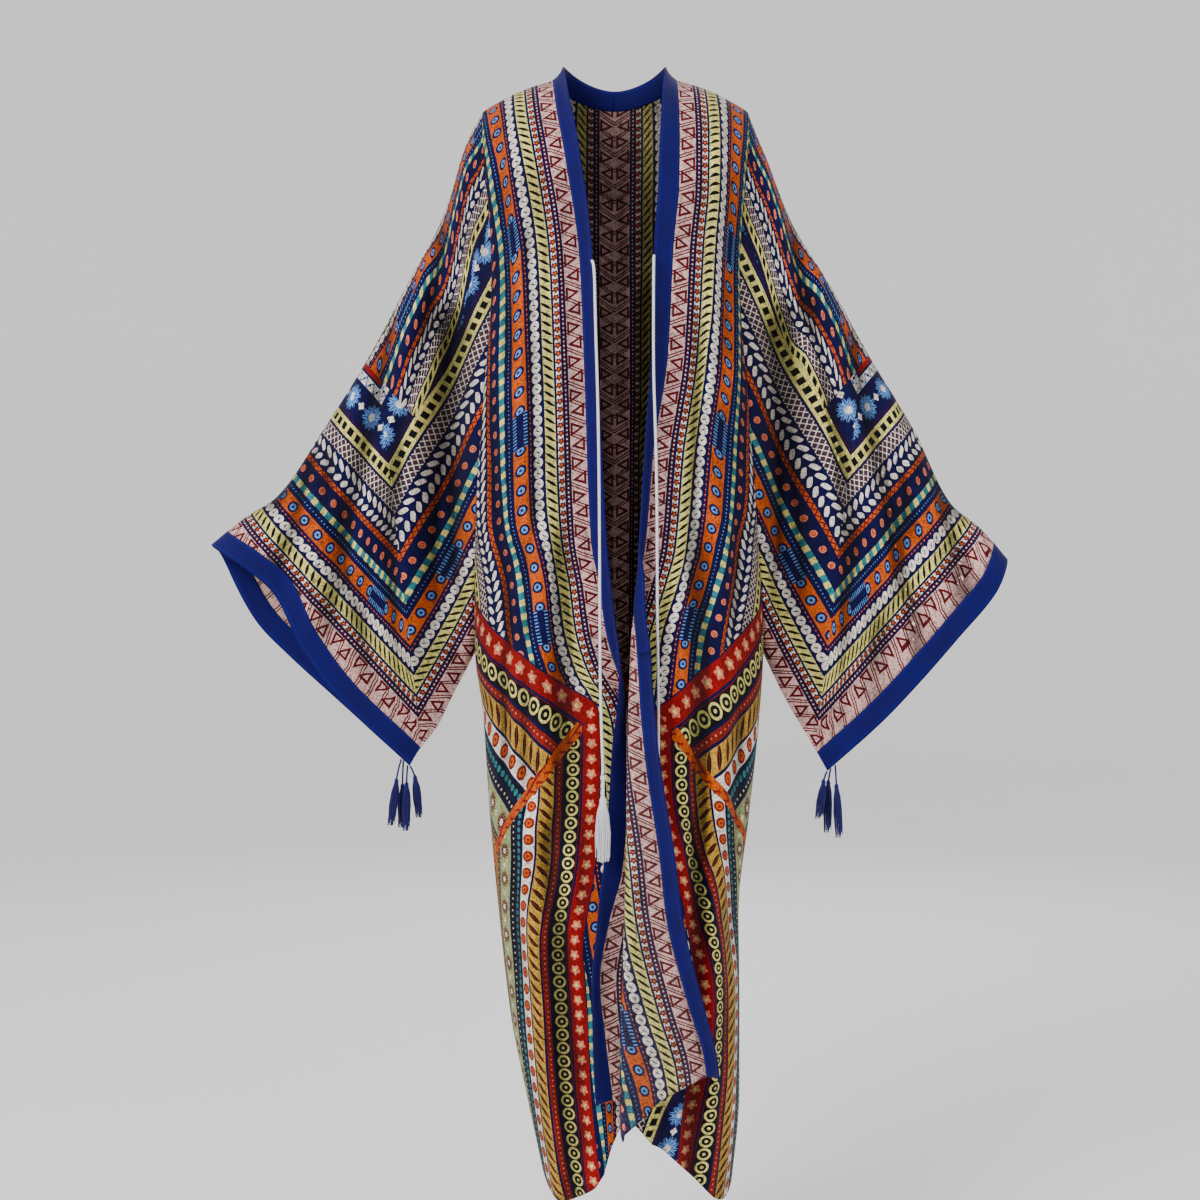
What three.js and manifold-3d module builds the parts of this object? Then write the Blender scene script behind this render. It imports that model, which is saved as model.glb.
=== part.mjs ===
// Long open kimono jacket in light printed crepe, as it hangs when worn with the arms held out and down.
// Millimetres. +X is the wearer's left, the front faces -Y, +Z is up, and the origin is where it rests:
// the shoulder line at the nape. Every cloth piece is a thin wall on a grid of points, a row down the
// garment and a column across it, and neighbouring pieces share the stations along their seam.
import * as THREE from 'three';
import { mergeVertices } from 'three/addons/utils/BufferGeometryUtils.js';
import ManifoldModule from 'manifold-3d';

const wasm = await ManifoldModule();
wasm.setup();

// Thicknesses, widths and gaps
const CLOTH = 1.3;
const BINDING = 1.9;
const SEAM_PULL = 0.2;
const CROTCH_PULL = 3;
const BAND_WIDTH = 24;
const CUFF_BAND_WIDTH = 25;
const LAYER_HALF_GAP = 1.15;

// Heights down the garment, as drops below the shoulder ridge
const CAP_DROP = 120;
const CROTCH_DROP = 664;
const HEM_ZONE_DROP = 970;
const CAP_STEPS = 4;
const ARMHOLE_STEPS = 12;
const SKIRT_STEPS = 6;
const HEM_STEPS = 5;
const CROTCH_ROW = CAP_STEPS + ARMHOLE_STEPS;
const ZONE_ROW = CROTCH_ROW + SKIRT_STEPS;
const LAST_ROW = ZONE_ROW + HEM_STEPS;

// Columns across a front: round the side, flat chest, the turned edge, and the lapel that lies back on it
const SIDE_STEPS = 9;
const FLAT_STEPS = 2;
const BEND_STEPS = 4;
const FLAP_STEPS = 2;
const FRONT_COLUMNS = SIDE_STEPS + FLAT_STEPS + BEND_STEPS + FLAP_STEPS;

// The back: half as many steps on each side of the centre
const BACK_HALF = 10;
const NECK_STEP = 5;
const NECK_HALF_WIDTH = 74;
const NECK_DEPTH = 60;
const NECK_BLEND = 200;

// Sleeves: stations from the armhole to the cuff seam, closer together near the armhole's deep fold
const SLEEVE_STEPS = 12;
const SLEEVE_BUNCHING = 1.35;
const ARM_RADIUS = { shoulder: 54, wrist: 38 };
const ARM_FORWARD = 35;
const ARM_TAPER = 0.8;
const ARMHOLE_REACH = 0.3;

// The bands: how far the neck part stands up in degrees, and how that bend is shared by its two halves
const NECK_LIFT = 34;
const BAND_BENDS = [0.75, 1.25];
const RIDGE_LEAN = 0.3;

// Shoulder ridge: its height beside the neck, its rise to the nape, its slope and its curve
const RIDGE = { neck: 7, nape: 16, slope: 0.25, curve: 0.002, fade: 300 };
const SIDE_ROUNDNESS = 0.85;
const SIDE_LEAN = { most: 0.98, hollow: 32 };
const FLAT_SHARE = 0.22;
const LAPEL_REACH = 110;

// How far the cloth stands in front of and behind the shoulder line
const DEPTH = [
  { z: 10, front: 104, back: 92 },
  { z: -120, front: 106, back: 94 },
  { z: -260, front: 114, back: 97 },
  { z: -420, front: 112, back: 88 },
  { z: -560, front: 112, back: 86 },
  { z: -720, front: 118, back: 99 },
  { z: -920, front: 120, back: 102 },
  { z: -1100, front: 118, back: 100 },
  { z: -1300, front: 112, back: 92 },
];

// Depth of the armhole seam before and behind the shoulder line
const ARMHOLE_DEPTH = [
  { drop: 0, depth: 62 },
  { drop: 120, depth: 64 },
  { drop: 300, depth: 68 },
  { drop: 450, depth: 63 },
  { drop: 550, depth: 48 },
  { drop: 610, depth: 31 },
  { drop: 650, depth: 11 },
  { drop: 664, depth: 0 },
];

// One entry for each side of the body. sign is the side of X. outline is the armhole, then the side seam.
// lapel: where the front edge starts to turn, how far it turns in degrees over which length of cloth, the
// straight lapel after it, the angle at which the blue band leaves, and how far the edge stands forward.
const SIDES = [
  {
    name: 'right',
    sign: -1,
    outline: [
      { z: 10, x: 158 },
      { z: -60, x: 154 },
      { z: -235, x: 142 },
      { z: -385, x: 153 },
      { z: -525, x: 162 },
      { z: -664, x: 165 },
      { z: -733, x: 156 },
      { z: -850, x: 148 },
      { z: -970, x: 137 },
      { z: -1090, x: 123 },
      { z: -1180, x: 105 },
      { z: -1300, x: 78 },
    ],
    lapel: [
      { z: 10, start: 85, turn: 4, bend: 8, flap: 3, lift: 42, ahead: 0 },
      { z: -40, start: 79, turn: 4, bend: 8, flap: 3, lift: 46, ahead: 0 },
      { z: -99, start: 69, turn: 4, bend: 8, flap: 3, lift: 46, ahead: 0 },
      { z: -217, start: 52, turn: 4, bend: 8, flap: 3, lift: 54, ahead: 0 },
      { z: -328, start: 47, turn: 4, bend: 8, flap: 3, lift: 52, ahead: 0 },
      { z: -535, start: 39, turn: 4, bend: 8, flap: 3, lift: 44, ahead: 0 },
      { z: -591, start: 29, turn: 6, bend: 8, flap: 3, lift: 58, ahead: 0 },
      { z: -640, start: 23, turn: 10, bend: 9, flap: 3, lift: 62, ahead: 0 },
      { z: -687, start: 11, turn: 30, bend: 12, flap: 3, lift: 78, ahead: 0 },
      { z: -715, start: -3, turn: 100, bend: 15, flap: 3, lift: 112, ahead: 0 },
      { z: -750, start: -11, turn: 160, bend: 17, flap: 3, lift: 126, ahead: 0 },
      { z: -806, start: -14, turn: 172, bend: 18, flap: 4, lift: 137, ahead: 0 },
      { z: -862, start: -16, turn: 174, bend: 18, flap: 6, lift: 150, ahead: 0 },
      { z: -905, start: -16, turn: 176, bend: 18, flap: 10, lift: 150, ahead: 0 },
      { z: -964, start: -13, turn: 176, bend: 18, flap: 22, lift: 122, ahead: 0 },
      { z: -1026, start: -12, turn: 176, bend: 18, flap: 31, lift: 108, ahead: 0 },
      { z: -1100, start: -10, turn: 176, bend: 18, flap: 22, lift: 126, ahead: 0 },
      { z: -1165, start: -8, turn: 176, bend: 18, flap: 12, lift: 142, ahead: 0 },
    ],
    // across is 0 at the side seam, 1 where the edge starts to turn, 2 at the band's seam
    hem: [
      { across: 0, z: -1252 },
      { across: 0.4, z: -1289 },
      { across: 0.75, z: -1268 },
      { across: 0.92, z: -1213 },
      { across: 1.05, z: -1183 },
      { across: 1.5, z: -1176 },
      { across: 2, z: -1162 },
    ],
    sleeveTop: [
      { x: 158, z: -27 },
      { x: 177, z: -64 },
      { x: 202, z: -146 },
      { x: 248, z: -236 },
      { x: 293, z: -323 },
      { x: 343, z: -405 },
      { x: 396, z: -484 },
      { x: 432, z: -508 },
      { x: 470, z: -540 },
    ],
    underarm: [
      { x: 165, z: -664 },
      { x: 193, z: -719 },
      { x: 210, z: -754 },
      { x: 230, z: -780 },
      { x: 240, z: -797 },
    ],
    // across is 0 on top of the wrist and 1 at the hanging corner
    cuff: [
      { across: 0, frontX: 470, frontZ: -540, backX: 470, backZ: -540 },
      { across: 0.12, frontX: 428, frontZ: -566, backX: 456, backZ: -574 },
      { across: 0.3, frontX: 394, frontZ: -596, backX: 424, backZ: -630 },
      { across: 0.5, frontX: 362, frontZ: -660, backX: 382, backZ: -672 },
      { across: 0.7, frontX: 325, frontZ: -713, backX: 332, backZ: -716 },
      { across: 1, frontX: 240, frontZ: -797, backX: 240, backZ: -797 },
    ],
  },
  {
    name: 'left',
    sign: 1,
    outline: [
      { z: 10, x: 158 },
      { z: -60, x: 154 },
      { z: -235, x: 142 },
      { z: -385, x: 153 },
      { z: -525, x: 164 },
      { z: -664, x: 174 },
      { z: -733, x: 170 },
      { z: -850, x: 158 },
      { z: -970, x: 145 },
      { z: -1090, x: 146 },
      { z: -1180, x: 146 },
      { z: -1300, x: 135 },
    ],
    lapel: [
      { z: 10, start: 82, turn: 4, bend: 8, flap: 3, lift: 44, ahead: 0 },
      { z: -72, start: 83, turn: 4, bend: 8, flap: 3, lift: 22, ahead: 0 },
      { z: -138, start: 82, turn: 4, bend: 8, flap: 3, lift: 14, ahead: 0 },
      { z: -199, start: 76, turn: 4, bend: 8, flap: 3, lift: 24, ahead: 0 },
      { z: -328, start: 69, turn: 4, bend: 8, flap: 3, lift: 40, ahead: 0 },
      { z: -443, start: 52, turn: 6, bend: 8, flap: 3, lift: 66, ahead: 0 },
      { z: -546, start: 44, turn: 10, bend: 9, flap: 3, lift: 76, ahead: 0 },
      { z: -591, start: 35, turn: 50, bend: 12, flap: 3, lift: 112, ahead: 4 },
      { z: -650, start: 24, turn: 140, bend: 18, flap: 4, lift: 124, ahead: 12 },
      { z: -700, start: 21, turn: 168, bend: 19, flap: 6, lift: 126, ahead: 18 },
      { z: -770, start: 20, turn: 174, bend: 24, flap: 12, lift: 128, ahead: 19 },
      { z: -883, start: 19, turn: 176, bend: 25, flap: 29, lift: 132, ahead: 19 },
      { z: -955, start: 16, turn: 176, bend: 21, flap: 40, lift: 136, ahead: 19 },
      { z: -1047, start: 12, turn: 176, bend: 18, flap: 67, lift: 132, ahead: 19 },
      { z: -1111, start: 10, turn: 176, bend: 18, flap: 88, lift: 124, ahead: 19 },
      { z: -1190, start: 10, turn: 176, bend: 18, flap: 96, lift: 120, ahead: 19 },
    ],
    hem: [
      { across: 0, z: -1270 },
      { across: 0.3, z: -1289 },
      { across: 0.6, z: -1255 },
      { across: 0.8, z: -1215 },
      { across: 1, z: -1184 },
      { across: 1.35, z: -1188 },
      { across: 1.6, z: -1205 },
      { across: 1.82, z: -1156 },
      { across: 2, z: -1130 },
    ],
    sleeveTop: [
      { x: 158, z: -27 },
      { x: 174, z: -68 },
      { x: 210, z: -160 },
      { x: 255, z: -236 },
      { x: 302, z: -323 },
      { x: 350, z: -405 },
      { x: 392, z: -492 },
      { x: 425, z: -520 },
      { x: 455, z: -556 },
    ],
    underarm: [
      { x: 174, z: -664 },
      { x: 200, z: -719 },
      { x: 218, z: -751 },
      { x: 238, z: -786 },
      { x: 247, z: -803 },
    ],
    cuff: [
      { across: 0, frontX: 455, frontZ: -556, backX: 455, backZ: -556 },
      { across: 0.12, frontX: 436, frontZ: -596, backX: 447, backZ: -588 },
      { across: 0.3, frontX: 394, frontZ: -648, backX: 402, backZ: -642 },
      { across: 0.5, frontX: 352, frontZ: -698, backX: 358, backZ: -694 },
      { across: 0.7, frontX: 311, frontZ: -743, backX: 315, backZ: -740 },
      { across: 1, frontX: 247, frontZ: -803, backX: 247, backZ: -803 },
    ],
  },
];

// Large folds of a front: sides it is on, its line from top to bottom, its half width, and how far it
// stands out. A negative depth is a trough.
const FRONT_FOLDS = [
  { side: 'right', topX: 191, topZ: -300, endX: 216, endZ: -742, width: 22, depth: -34 },
  { side: 'left', topX: 192, topZ: -300, endX: 222, endZ: -742, width: 22, depth: -34 },
  { side: 'right', topX: 236, topZ: -330, endX: 228, endZ: -730, width: 20, depth: 8 },
  { side: 'left', topX: 240, topZ: -330, endX: 236, endZ: -735, width: 20, depth: 8 },
  { side: 'right', topX: 330, topZ: -470, endX: 285, endZ: -700, width: 17, depth: -7 },
  { side: 'left', topX: 338, topZ: -480, endX: 296, endZ: -700, width: 17, depth: -6 },
  { side: 'right', topX: 86, topZ: -560, endX: 84, endZ: -820, width: 15, depth: 12 },
  { side: 'right', topX: 62, topZ: -560, endX: 60, endZ: -830, width: 14, depth: -8 },
  { side: 'left', topX: 120, topZ: -550, endX: 122, endZ: -830, width: 15, depth: 12 },
  { side: 'left', topX: 94, topZ: -560, endX: 96, endZ: -850, width: 14, depth: -8 },
  { side: 'right', topX: 104, topZ: -860, endX: 78, endZ: -1270, width: 17, depth: 9 },
  { side: 'right', topX: 74, topZ: -880, endX: 48, endZ: -1270, width: 15, depth: -9 },
  { side: 'left', topX: 118, topZ: -900, endX: 112, endZ: -1290, width: 17, depth: 9 },
  { side: 'left', topX: 88, topZ: -900, endX: 80, endZ: -1290, width: 15, depth: -9 },
  { side: 'right', topX: 118, topZ: -120, endX: 106, endZ: -500, width: 20, depth: 6 },
  { side: 'left', topX: 122, topZ: -120, endX: 112, endZ: -500, width: 20, depth: 6 },
];

// Large folds of the back, which hangs in soft flutes from the shoulder blades
const BACK_FOLDS = [
  { side: 'right', topX: 192, topZ: -300, endX: 216, endZ: -742, width: 22, depth: -32 },
  { side: 'left', topX: 192, topZ: -300, endX: 222, endZ: -742, width: 22, depth: -32 },
  { side: 'right', topX: 240, topZ: -340, endX: 232, endZ: -735, width: 20, depth: 8 },
  { side: 'left', topX: 240, topZ: -330, endX: 236, endZ: -735, width: 20, depth: 8 },
  { side: 'right', topX: 336, topZ: -480, endX: 296, endZ: -700, width: 17, depth: -7 },
  { side: 'left', topX: 332, topZ: -490, endX: 290, endZ: -690, width: 17, depth: -7 },
  { side: 'right', topX: 106, topZ: -180, endX: 112, endZ: -1270, width: 19, depth: 12 },
  { side: 'right', topX: 66, topZ: -240, endX: 74, endZ: -1250, width: 18, depth: -11 },
  { side: 'right', topX: 30, topZ: -300, endX: 34, endZ: -1220, width: 18, depth: 10 },
  { side: 'left', topX: 8, topZ: -420, endX: 4, endZ: -1200, width: 16, depth: -9 },
  { side: 'left', topX: 42, topZ: -260, endX: 44, endZ: -1230, width: 18, depth: 11 },
  { side: 'left', topX: 80, topZ: -300, endX: 84, endZ: -1250, width: 18, depth: -11 },
  { side: 'left', topX: 112, topZ: -200, endX: 122, endZ: -1270, width: 19, depth: 11 },
];
const FOLD_END = 70;
const FOLD_EASE = 24;

// The back's hem: across is 0 at the centre and 1 at a side seam
const BACK_HEM = [
  { across: 0, z: -1176 },
  { across: 0.35, z: -1190 },
  { across: 0.7, z: -1236 },
  { across: 1, z: -1261 },
];

const radians = (degrees) => (degrees * Math.PI) / 180;
const clamp = (value, low, high) => Math.min(Math.max(value, low), high);
const mix = (from, to, share) => from + (to - from) * share;
const smooth = (value) => clamp(value, 0, 1) ** 2 * (3 - 2 * clamp(value, 0, 1));
// A quarter of an ellipse: 0 at the top of a rounded edge, 1 once past its radius
const roundOff = (value) => Math.sqrt(1 - (1 - clamp(value, 0, 1)) ** 2);

// Reads a table's column as a smooth curve through its rows that never overshoots them
function read(table, key, column, at) {
  const last = table.length - 1;
  const way = Math.sign(table[last][key] - table[0][key]);
  const place = (row) => way * table[row][key];
  const slope = (row) => (table[row + 1][column] - table[row][column]) / (place(row + 1) - place(row));
  const tangent = (row) => {
    if (row === 0) return slope(0);
    if (row === last) return slope(last - 1);
    const before = slope(row - 1);
    const after = slope(row);
    return before * after <= 0 ? 0 : (2 * before * after) / (before + after);
  };
  const wanted = clamp(way * at, place(0), place(last));
  let row = 0;
  while (row < last - 1 && wanted > place(row + 1)) row += 1;
  const span = place(row + 1) - place(row);
  const share = (wanted - place(row)) / span;
  const [square, cube] = [share ** 2, share ** 3];
  return (
    (2 * cube - 3 * square + 1) * table[row][column] +
    (cube - 2 * square + share) * span * tangent(row) +
    (3 * square - 2 * cube) * table[row + 1][column] +
    (cube - square) * span * tangent(row + 1)
  );
}

// A curve through points in the frontal plane, read by its share of length from 0 to 1
function lineThrough(points) {
  let run = 0;
  const table = points.map((point, index) => {
    if (index > 0) run += Math.hypot(point.x - points[index - 1].x, point.z - points[index - 1].z);
    return { run, x: point.x, z: point.z };
  });
  return (share) => ({
    x: read(table, 'run', 'x', share * run),
    z: read(table, 'run', 'z', share * run),
  });
}

// Drop of a row below the shoulder ridge, above the hem zone
function rowDrop(row) {
  if (row <= CAP_STEPS) return CAP_DROP * (1 - Math.cos(radians((90 * row) / CAP_STEPS)));
  if (row <= CROTCH_ROW) {
    const share = (row - CAP_STEPS) / ARMHOLE_STEPS;
    return CAP_DROP + (CROTCH_DROP - CAP_DROP) * Math.sin(radians(90 * share));
  }
  return CROTCH_DROP + ((HEM_ZONE_DROP - CROTCH_DROP) * (row - CROTCH_ROW)) / SKIRT_STEPS;
}

// Height of the shoulder ridge at a distance from the centre
function ridgeHeight(x) {
  const out = Math.max(0, x - NECK_HALF_WIDTH);
  const nape = RIDGE.nape * Math.max(0, 1 - (x / NECK_HALF_WIDTH) ** 2);
  return RIDGE.neck + nape - RIDGE.slope * out - RIDGE.curve * out ** 2;
}

const heightAt = (drop, ridgeX) => ridgeHeight(ridgeX) * clamp(1 - drop / RIDGE.fade, 0, 1) ** 2 - drop;

// What the large folds add outwards at a place in the frontal plane; x is signed
function foldOut(folds, x, z) {
  let out = 0;
  for (const fold of folds) {
    const sign = fold.side === 'left' ? 1 : -1;
    const share = (z - fold.topZ) / (fold.endZ - fold.topZ);
    const lineX = sign * mix(fold.topX, fold.endX, clamp(share, 0, 1));
    const beyond = Math.max(fold.endZ - z, z - fold.topZ, 0);
    const across = Math.exp(-(((x - lineX) / fold.width) ** 2));
    out += fold.depth * across * (1 - smooth(beyond / FOLD_END));
  }
  return out;
}

// The widest half width that a row's rounded side would reach, and the angle at which the cloth leaves it
function sideRound(edgeX, edgeDepth, depth, flatX) {
  const angle = depth > 0
    ? Math.asin(clamp(edgeDepth / depth, 0, SIDE_LEAN.most) ** (1 / SIDE_ROUNDNESS))
    : radians(SIDE_LEAN.hollow);
  return { angle, half: flatX + (edgeX - flatX) / Math.cos(angle) ** SIDE_ROUNDNESS };
}

// Depth of the rounded section at a distance from the centre
function sectionDepth(x, half, flatX, depth) {
  const share = clamp((x - flatX) / (half - flatX), 0, 1);
  const angle = Math.acos(share ** (1 / SIDE_ROUNDNESS));
  return depth * Math.sin(angle) ** SIDE_ROUNDNESS;
}

// Depth of the armhole seam and of the section at a drop, which are both rounded off over the shoulder
function rowDepths(face, drop, z) {
  const cap = roundOff(drop / CAP_DROP);
  return {
    depth: read(DEPTH, 'z', face, z) * cap,
    edge: drop >= CROTCH_DROP ? 0 : read(ARMHOLE_DEPTH, 'drop', 'depth', drop) * cap,
  };
}

// Point of a front at a column and a height. Columns run from the armhole or side seam to the band's seam.
function frontPoint(side, column, drop, z) {
  const lapel = (name) => read(side.lapel, 'z', name, z);
  const { depth, edge } = rowDepths('front', drop, z);
  const edgeX = read(side.outline, 'z', 'x', z);
  const start = lapel('start');
  const flatX = start + FLAT_SHARE * (edgeX - start);
  const { angle, half } = sideRound(edgeX, edge, depth, flatX);
  const ahead = (x) => lapel('ahead') * (1 - smooth((x - start) / LAPEL_REACH));
  const ease = clamp(depth / FOLD_EASE, 0, 1);
  let x;
  let y;
  if (column <= SIDE_STEPS + FLAT_STEPS) {
    if (column <= SIDE_STEPS) {
      const turned = mix(angle, radians(90), column / SIDE_STEPS);
      x = flatX + (half - flatX) * Math.cos(turned) ** SIDE_ROUNDNESS;
      y = depth * Math.sin(turned) ** SIDE_ROUNDNESS;
    } else {
      x = mix(flatX, start, (column - SIDE_STEPS) / FLAT_STEPS);
      y = depth;
    }
    y += ahead(x);
    y += foldOut(FRONT_FOLDS, side.sign * x, z) * ease * clamp(y / FOLD_EASE, 0, 1);
  } else {
    const turn = radians(lapel('turn'));
    const radius = lapel('bend') / turn;
    const bent = clamp((column - SIDE_STEPS - FLAT_STEPS) / BEND_STEPS, 0, 1) * turn;
    const beyond = Math.max(0, column - SIDE_STEPS - FLAT_STEPS - BEND_STEPS);
    const straight = (lapel('flap') * beyond) / FLAP_STEPS;
    const base = depth + ahead(start) + foldOut(FRONT_FOLDS, side.sign * start, z) * ease;
    x = start - radius * Math.sin(bent) - straight * Math.cos(bent);
    y = base + radius * (1 - Math.cos(bent)) + straight * Math.sin(bent);
  }
  return new THREE.Vector3(side.sign * x, -y, z);
}

// Where a column of a front starts on the shoulder ridge
const frontRidgeX = (side, column) => Math.abs(frontPoint(side, column, 0, 0).x);

// Column as a share: 0 at the side, 1 where the edge turns, 2 at the band
function frontAcross(column) {
  const flat = SIDE_STEPS + FLAT_STEPS;
  return column <= flat ? column / flat : 1 + (column - flat) / (FRONT_COLUMNS - flat);
}

// Height of a grid point: level rows, which lean over to the hem's line in the last rows
function rowHeight(row, ridgeX, hemZ) {
  if (row <= ZONE_ROW) return heightAt(rowDrop(row), ridgeX);
  return mix(-HEM_ZONE_DROP, hemZ, (row - ZONE_ROW) / HEM_STEPS);
}

function frontGrid(side) {
  const rows = [];
  for (let row = 0; row <= LAST_ROW; row += 1) {
    const line = [];
    for (let column = 0; column <= FRONT_COLUMNS; column += 1) {
      const hemZ = read(side.hem, 'across', 'z', frontAcross(column));
      const z = rowHeight(row, frontRidgeX(side, column), hemZ);
      const drop = row <= ZONE_ROW ? rowDrop(row) : -z;
      line.push(frontPoint(side, column, drop, z));
    }
    rows.push(line);
  }
  return rows;
}

// The back's neckline is an ellipse on the rounded shoulders, so its columns start lower near the centre
function neckDrop(ridgeX) {
  if (ridgeX >= NECK_HALF_WIDTH) return 0;
  const reach = NECK_DEPTH * Math.sqrt(1 - (ridgeX / NECK_HALF_WIDTH) ** 2);
  return CAP_DROP * (1 - Math.sqrt(1 - (reach / DEPTH[0].back) ** 2));
}

function backGrid() {
  const rows = [];
  for (let row = 0; row <= LAST_ROW; row += 1) {
    const line = [];
    for (let column = -BACK_HALF; column <= BACK_HALF; column += 1) {
      const side = SIDES[column < 0 ? 0 : 1];
      const out = Math.abs(column) / BACK_HALF;
      const neckShare = NECK_STEP / BACK_HALF;
      const ridgeAt = (widest) =>
        out > neckShare
          ? mix(NECK_HALF_WIDTH, widest, (out - neckShare) / (1 - neckShare))
          : (NECK_HALF_WIDTH * out) / neckShare;
      const ridgeX = ridgeAt(side.outline[0].x);
      const start = neckDrop(ridgeX);
      const level = row <= ZONE_ROW ? rowDrop(row) : 0;
      const drop = level + start * clamp(1 - level / NECK_BLEND, 0, 1);
      const hemZ = read(BACK_HEM, 'across', 'z', out);
      const z = row <= ZONE_ROW ? heightAt(drop, ridgeX) : rowHeight(row, ridgeX, hemZ);
      const { depth, edge } = rowDepths('back', row <= ZONE_ROW ? drop : -z, z);
      const edgeX = read(side.outline, 'z', 'x', z);
      const flatX = FLAT_SHARE * edgeX;
      const { angle, half } = sideRound(edgeX, edge, depth, flatX);
      const flatShare = 2 / BACK_HALF;
      const turned = mix(radians(90), angle, clamp((out - flatShare) / (1 - flatShare), 0, 1));
      const wide =
        out < flatShare
          ? (flatX * out) / flatShare
          : flatX + (half - flatX) * Math.cos(turned) ** SIDE_ROUNDNESS;
      const x = mix(ridgeAt(edgeX), wide, row > ZONE_ROW ? 1 : smooth(level / NECK_BLEND));
      let y = out === 1 ? edge : sectionDepth(x, half, flatX, depth);
      const ease = clamp(depth / FOLD_EASE, 0, 1) * clamp(y / FOLD_EASE, 0, 1);
      y += foldOut(BACK_FOLDS, side.sign * x, z) * ease;
      line.push(new THREE.Vector3(side.sign * x, y, z));
    }
    rows.push(line);
  }
  return rows;
}

// A sleeve half is a patch between the armhole, the cuff, the top of the arm and the underarm seam. share
// runs from the armhole to the cuff's edge, row down from the top of the arm to the underarm.
function sleevePoint(side, face, share, row) {
  const armholeZ = (at) => heightAt(rowDrop(at), side.outline[0].x);
  const down = (armholeZ(0) - armholeZ(row)) / (armholeZ(0) - armholeZ(CROTCH_ROW));
  const armhole = { x: read(side.outline, 'z', 'x', armholeZ(row)), z: armholeZ(row) };
  const cuff = {
    x: read(side.cuff, 'across', `${face}X`, down),
    z: read(side.cuff, 'across', `${face}Z`, down),
  };
  const top = side.topLine(share);
  const under = side.underLine(share);
  const [first, last] = [side.topLine(0), side.underLine(0)];
  const [wrist, corner] = [side.topLine(1), side.underLine(1)];
  const blend = (axis) =>
    mix(armhole[axis], cuff[axis], share) +
    mix(top[axis], under[axis], down) -
    mix(mix(first[axis], wrist[axis], share), mix(last[axis], corner[axis], share), down);
  const x = blend('x');
  const z = blend('z');
  const length = Math.hypot(top.x - under.x, top.z - under.z);
  const radius = mix(ARM_RADIUS.shoulder, ARM_RADIUS.wrist, share);
  const below = down * length;
  const taper = below > radius ? (1 - (below - radius) / (length - radius)) ** ARM_TAPER : 1;
  const hung = radius * roundOff(below / radius) * taper;
  const sewn = rowDepths(face, rowDrop(row), armholeZ(row)).edge;
  const plain = mix(sewn, hung, smooth(share / ARMHOLE_REACH));
  const folds = face === 'front' ? FRONT_FOLDS : BACK_FOLDS;
  const folded = plain + foldOut(folds, side.sign * x, z) * clamp(plain / FOLD_EASE, 0, 1) ** 2;
  const half = row === 0 ? 0 : Math.max(folded, LAYER_HALF_GAP);
  const forward = ARM_FORWARD * share ** 1.5;
  return new THREE.Vector3(side.sign * x, (face === 'front' ? -half : half) - forward, z);
}

// Share at which the cuff band's seam lies on a row, one band's width from the edge
function cuffSeam(side, face, row) {
  const length = sleevePoint(side, face, 1, row).distanceTo(sleevePoint(side, face, 0.9, row)) * 10;
  return 1 - CUFF_BAND_WIDTH / length;
}

function sleeveGrid(side, face) {
  const rows = [];
  for (let row = 0; row <= CROTCH_ROW; row += 1) {
    const end = cuffSeam(side, face, row);
    const line = [];
    for (let step = 0; step <= SLEEVE_STEPS; step += 1) {
      line.push(sleevePoint(side, face, end * (step / SLEEVE_STEPS) ** SLEEVE_BUNCHING, row));
    }
    rows.push(line);
  }
  return rows;
}

// The cuff band goes from the hanging corner up the front, over the wrist and down the back
function cuffBandGrid(side) {
  const rows = [];
  const addRow = (face, row) => {
    const end = cuffSeam(side, face, row);
    rows.push([0, 0.5, 1].map((share) => sleevePoint(side, face, mix(end, 1, share), row)));
  };
  for (let row = CROTCH_ROW; row >= 0; row -= 1) addRow('front', row);
  for (let row = 1; row <= CROTCH_ROW; row += 1) addRow('back', row);
  return rows;
}

// Unit normals of a grid, turned to the garment's outside, which is away from a given axis point
function gridNormals(grid, outside) {
  const normals = grid.map((line) => line.map(() => new THREE.Vector3()));
  const [last, end] = [grid.length - 1, grid[0].length - 1];
  for (let row = 0; row < last; row += 1) {
    for (let column = 0; column < end; column += 1) {
      const down = grid[row + 1][column].clone().add(grid[row + 1][column + 1]);
      down.sub(grid[row][column]).sub(grid[row][column + 1]);
      const along = grid[row][column + 1].clone().add(grid[row + 1][column + 1]);
      along.sub(grid[row][column]).sub(grid[row + 1][column]);
      const normal = down.cross(along).normalize();
      for (const [r, c] of [[row, column], [row + 1, column], [row, column + 1], [row + 1, column + 1]]) {
        normals[r][c].add(normal);
      }
    }
  }
  const way = outside(normals, grid) ? 1 : -1;
  for (const line of normals) {
    for (const normal of line) normal.normalize().multiplyScalar(way);
  }
  return normals;
}

// A cloth piece before it gets its thickness
function piece(grid, outside) {
  return { grid, normals: gridNormals(grid, outside) };
}

// Gives two pieces one normal at each shared place of a seam, so that their edges face each other
function matchSeam(one, two) {
  one.forEach((normal, index) => {
    const shared = normal.clone().add(two[index]).normalize();
    normal.copy(shared);
    two[index].copy(shared);
  });
}

// Moves an edge's points back into their own piece
function pullBack(edge, inner, distance) {
  edge.forEach((point, index) => {
    const away = inner[index].clone().sub(point);
    point.addScaledVector(away.normalize(), distance(index));
  });
}

const columnOf = (lines, column) => lines.map((line) => line[column]);

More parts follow.
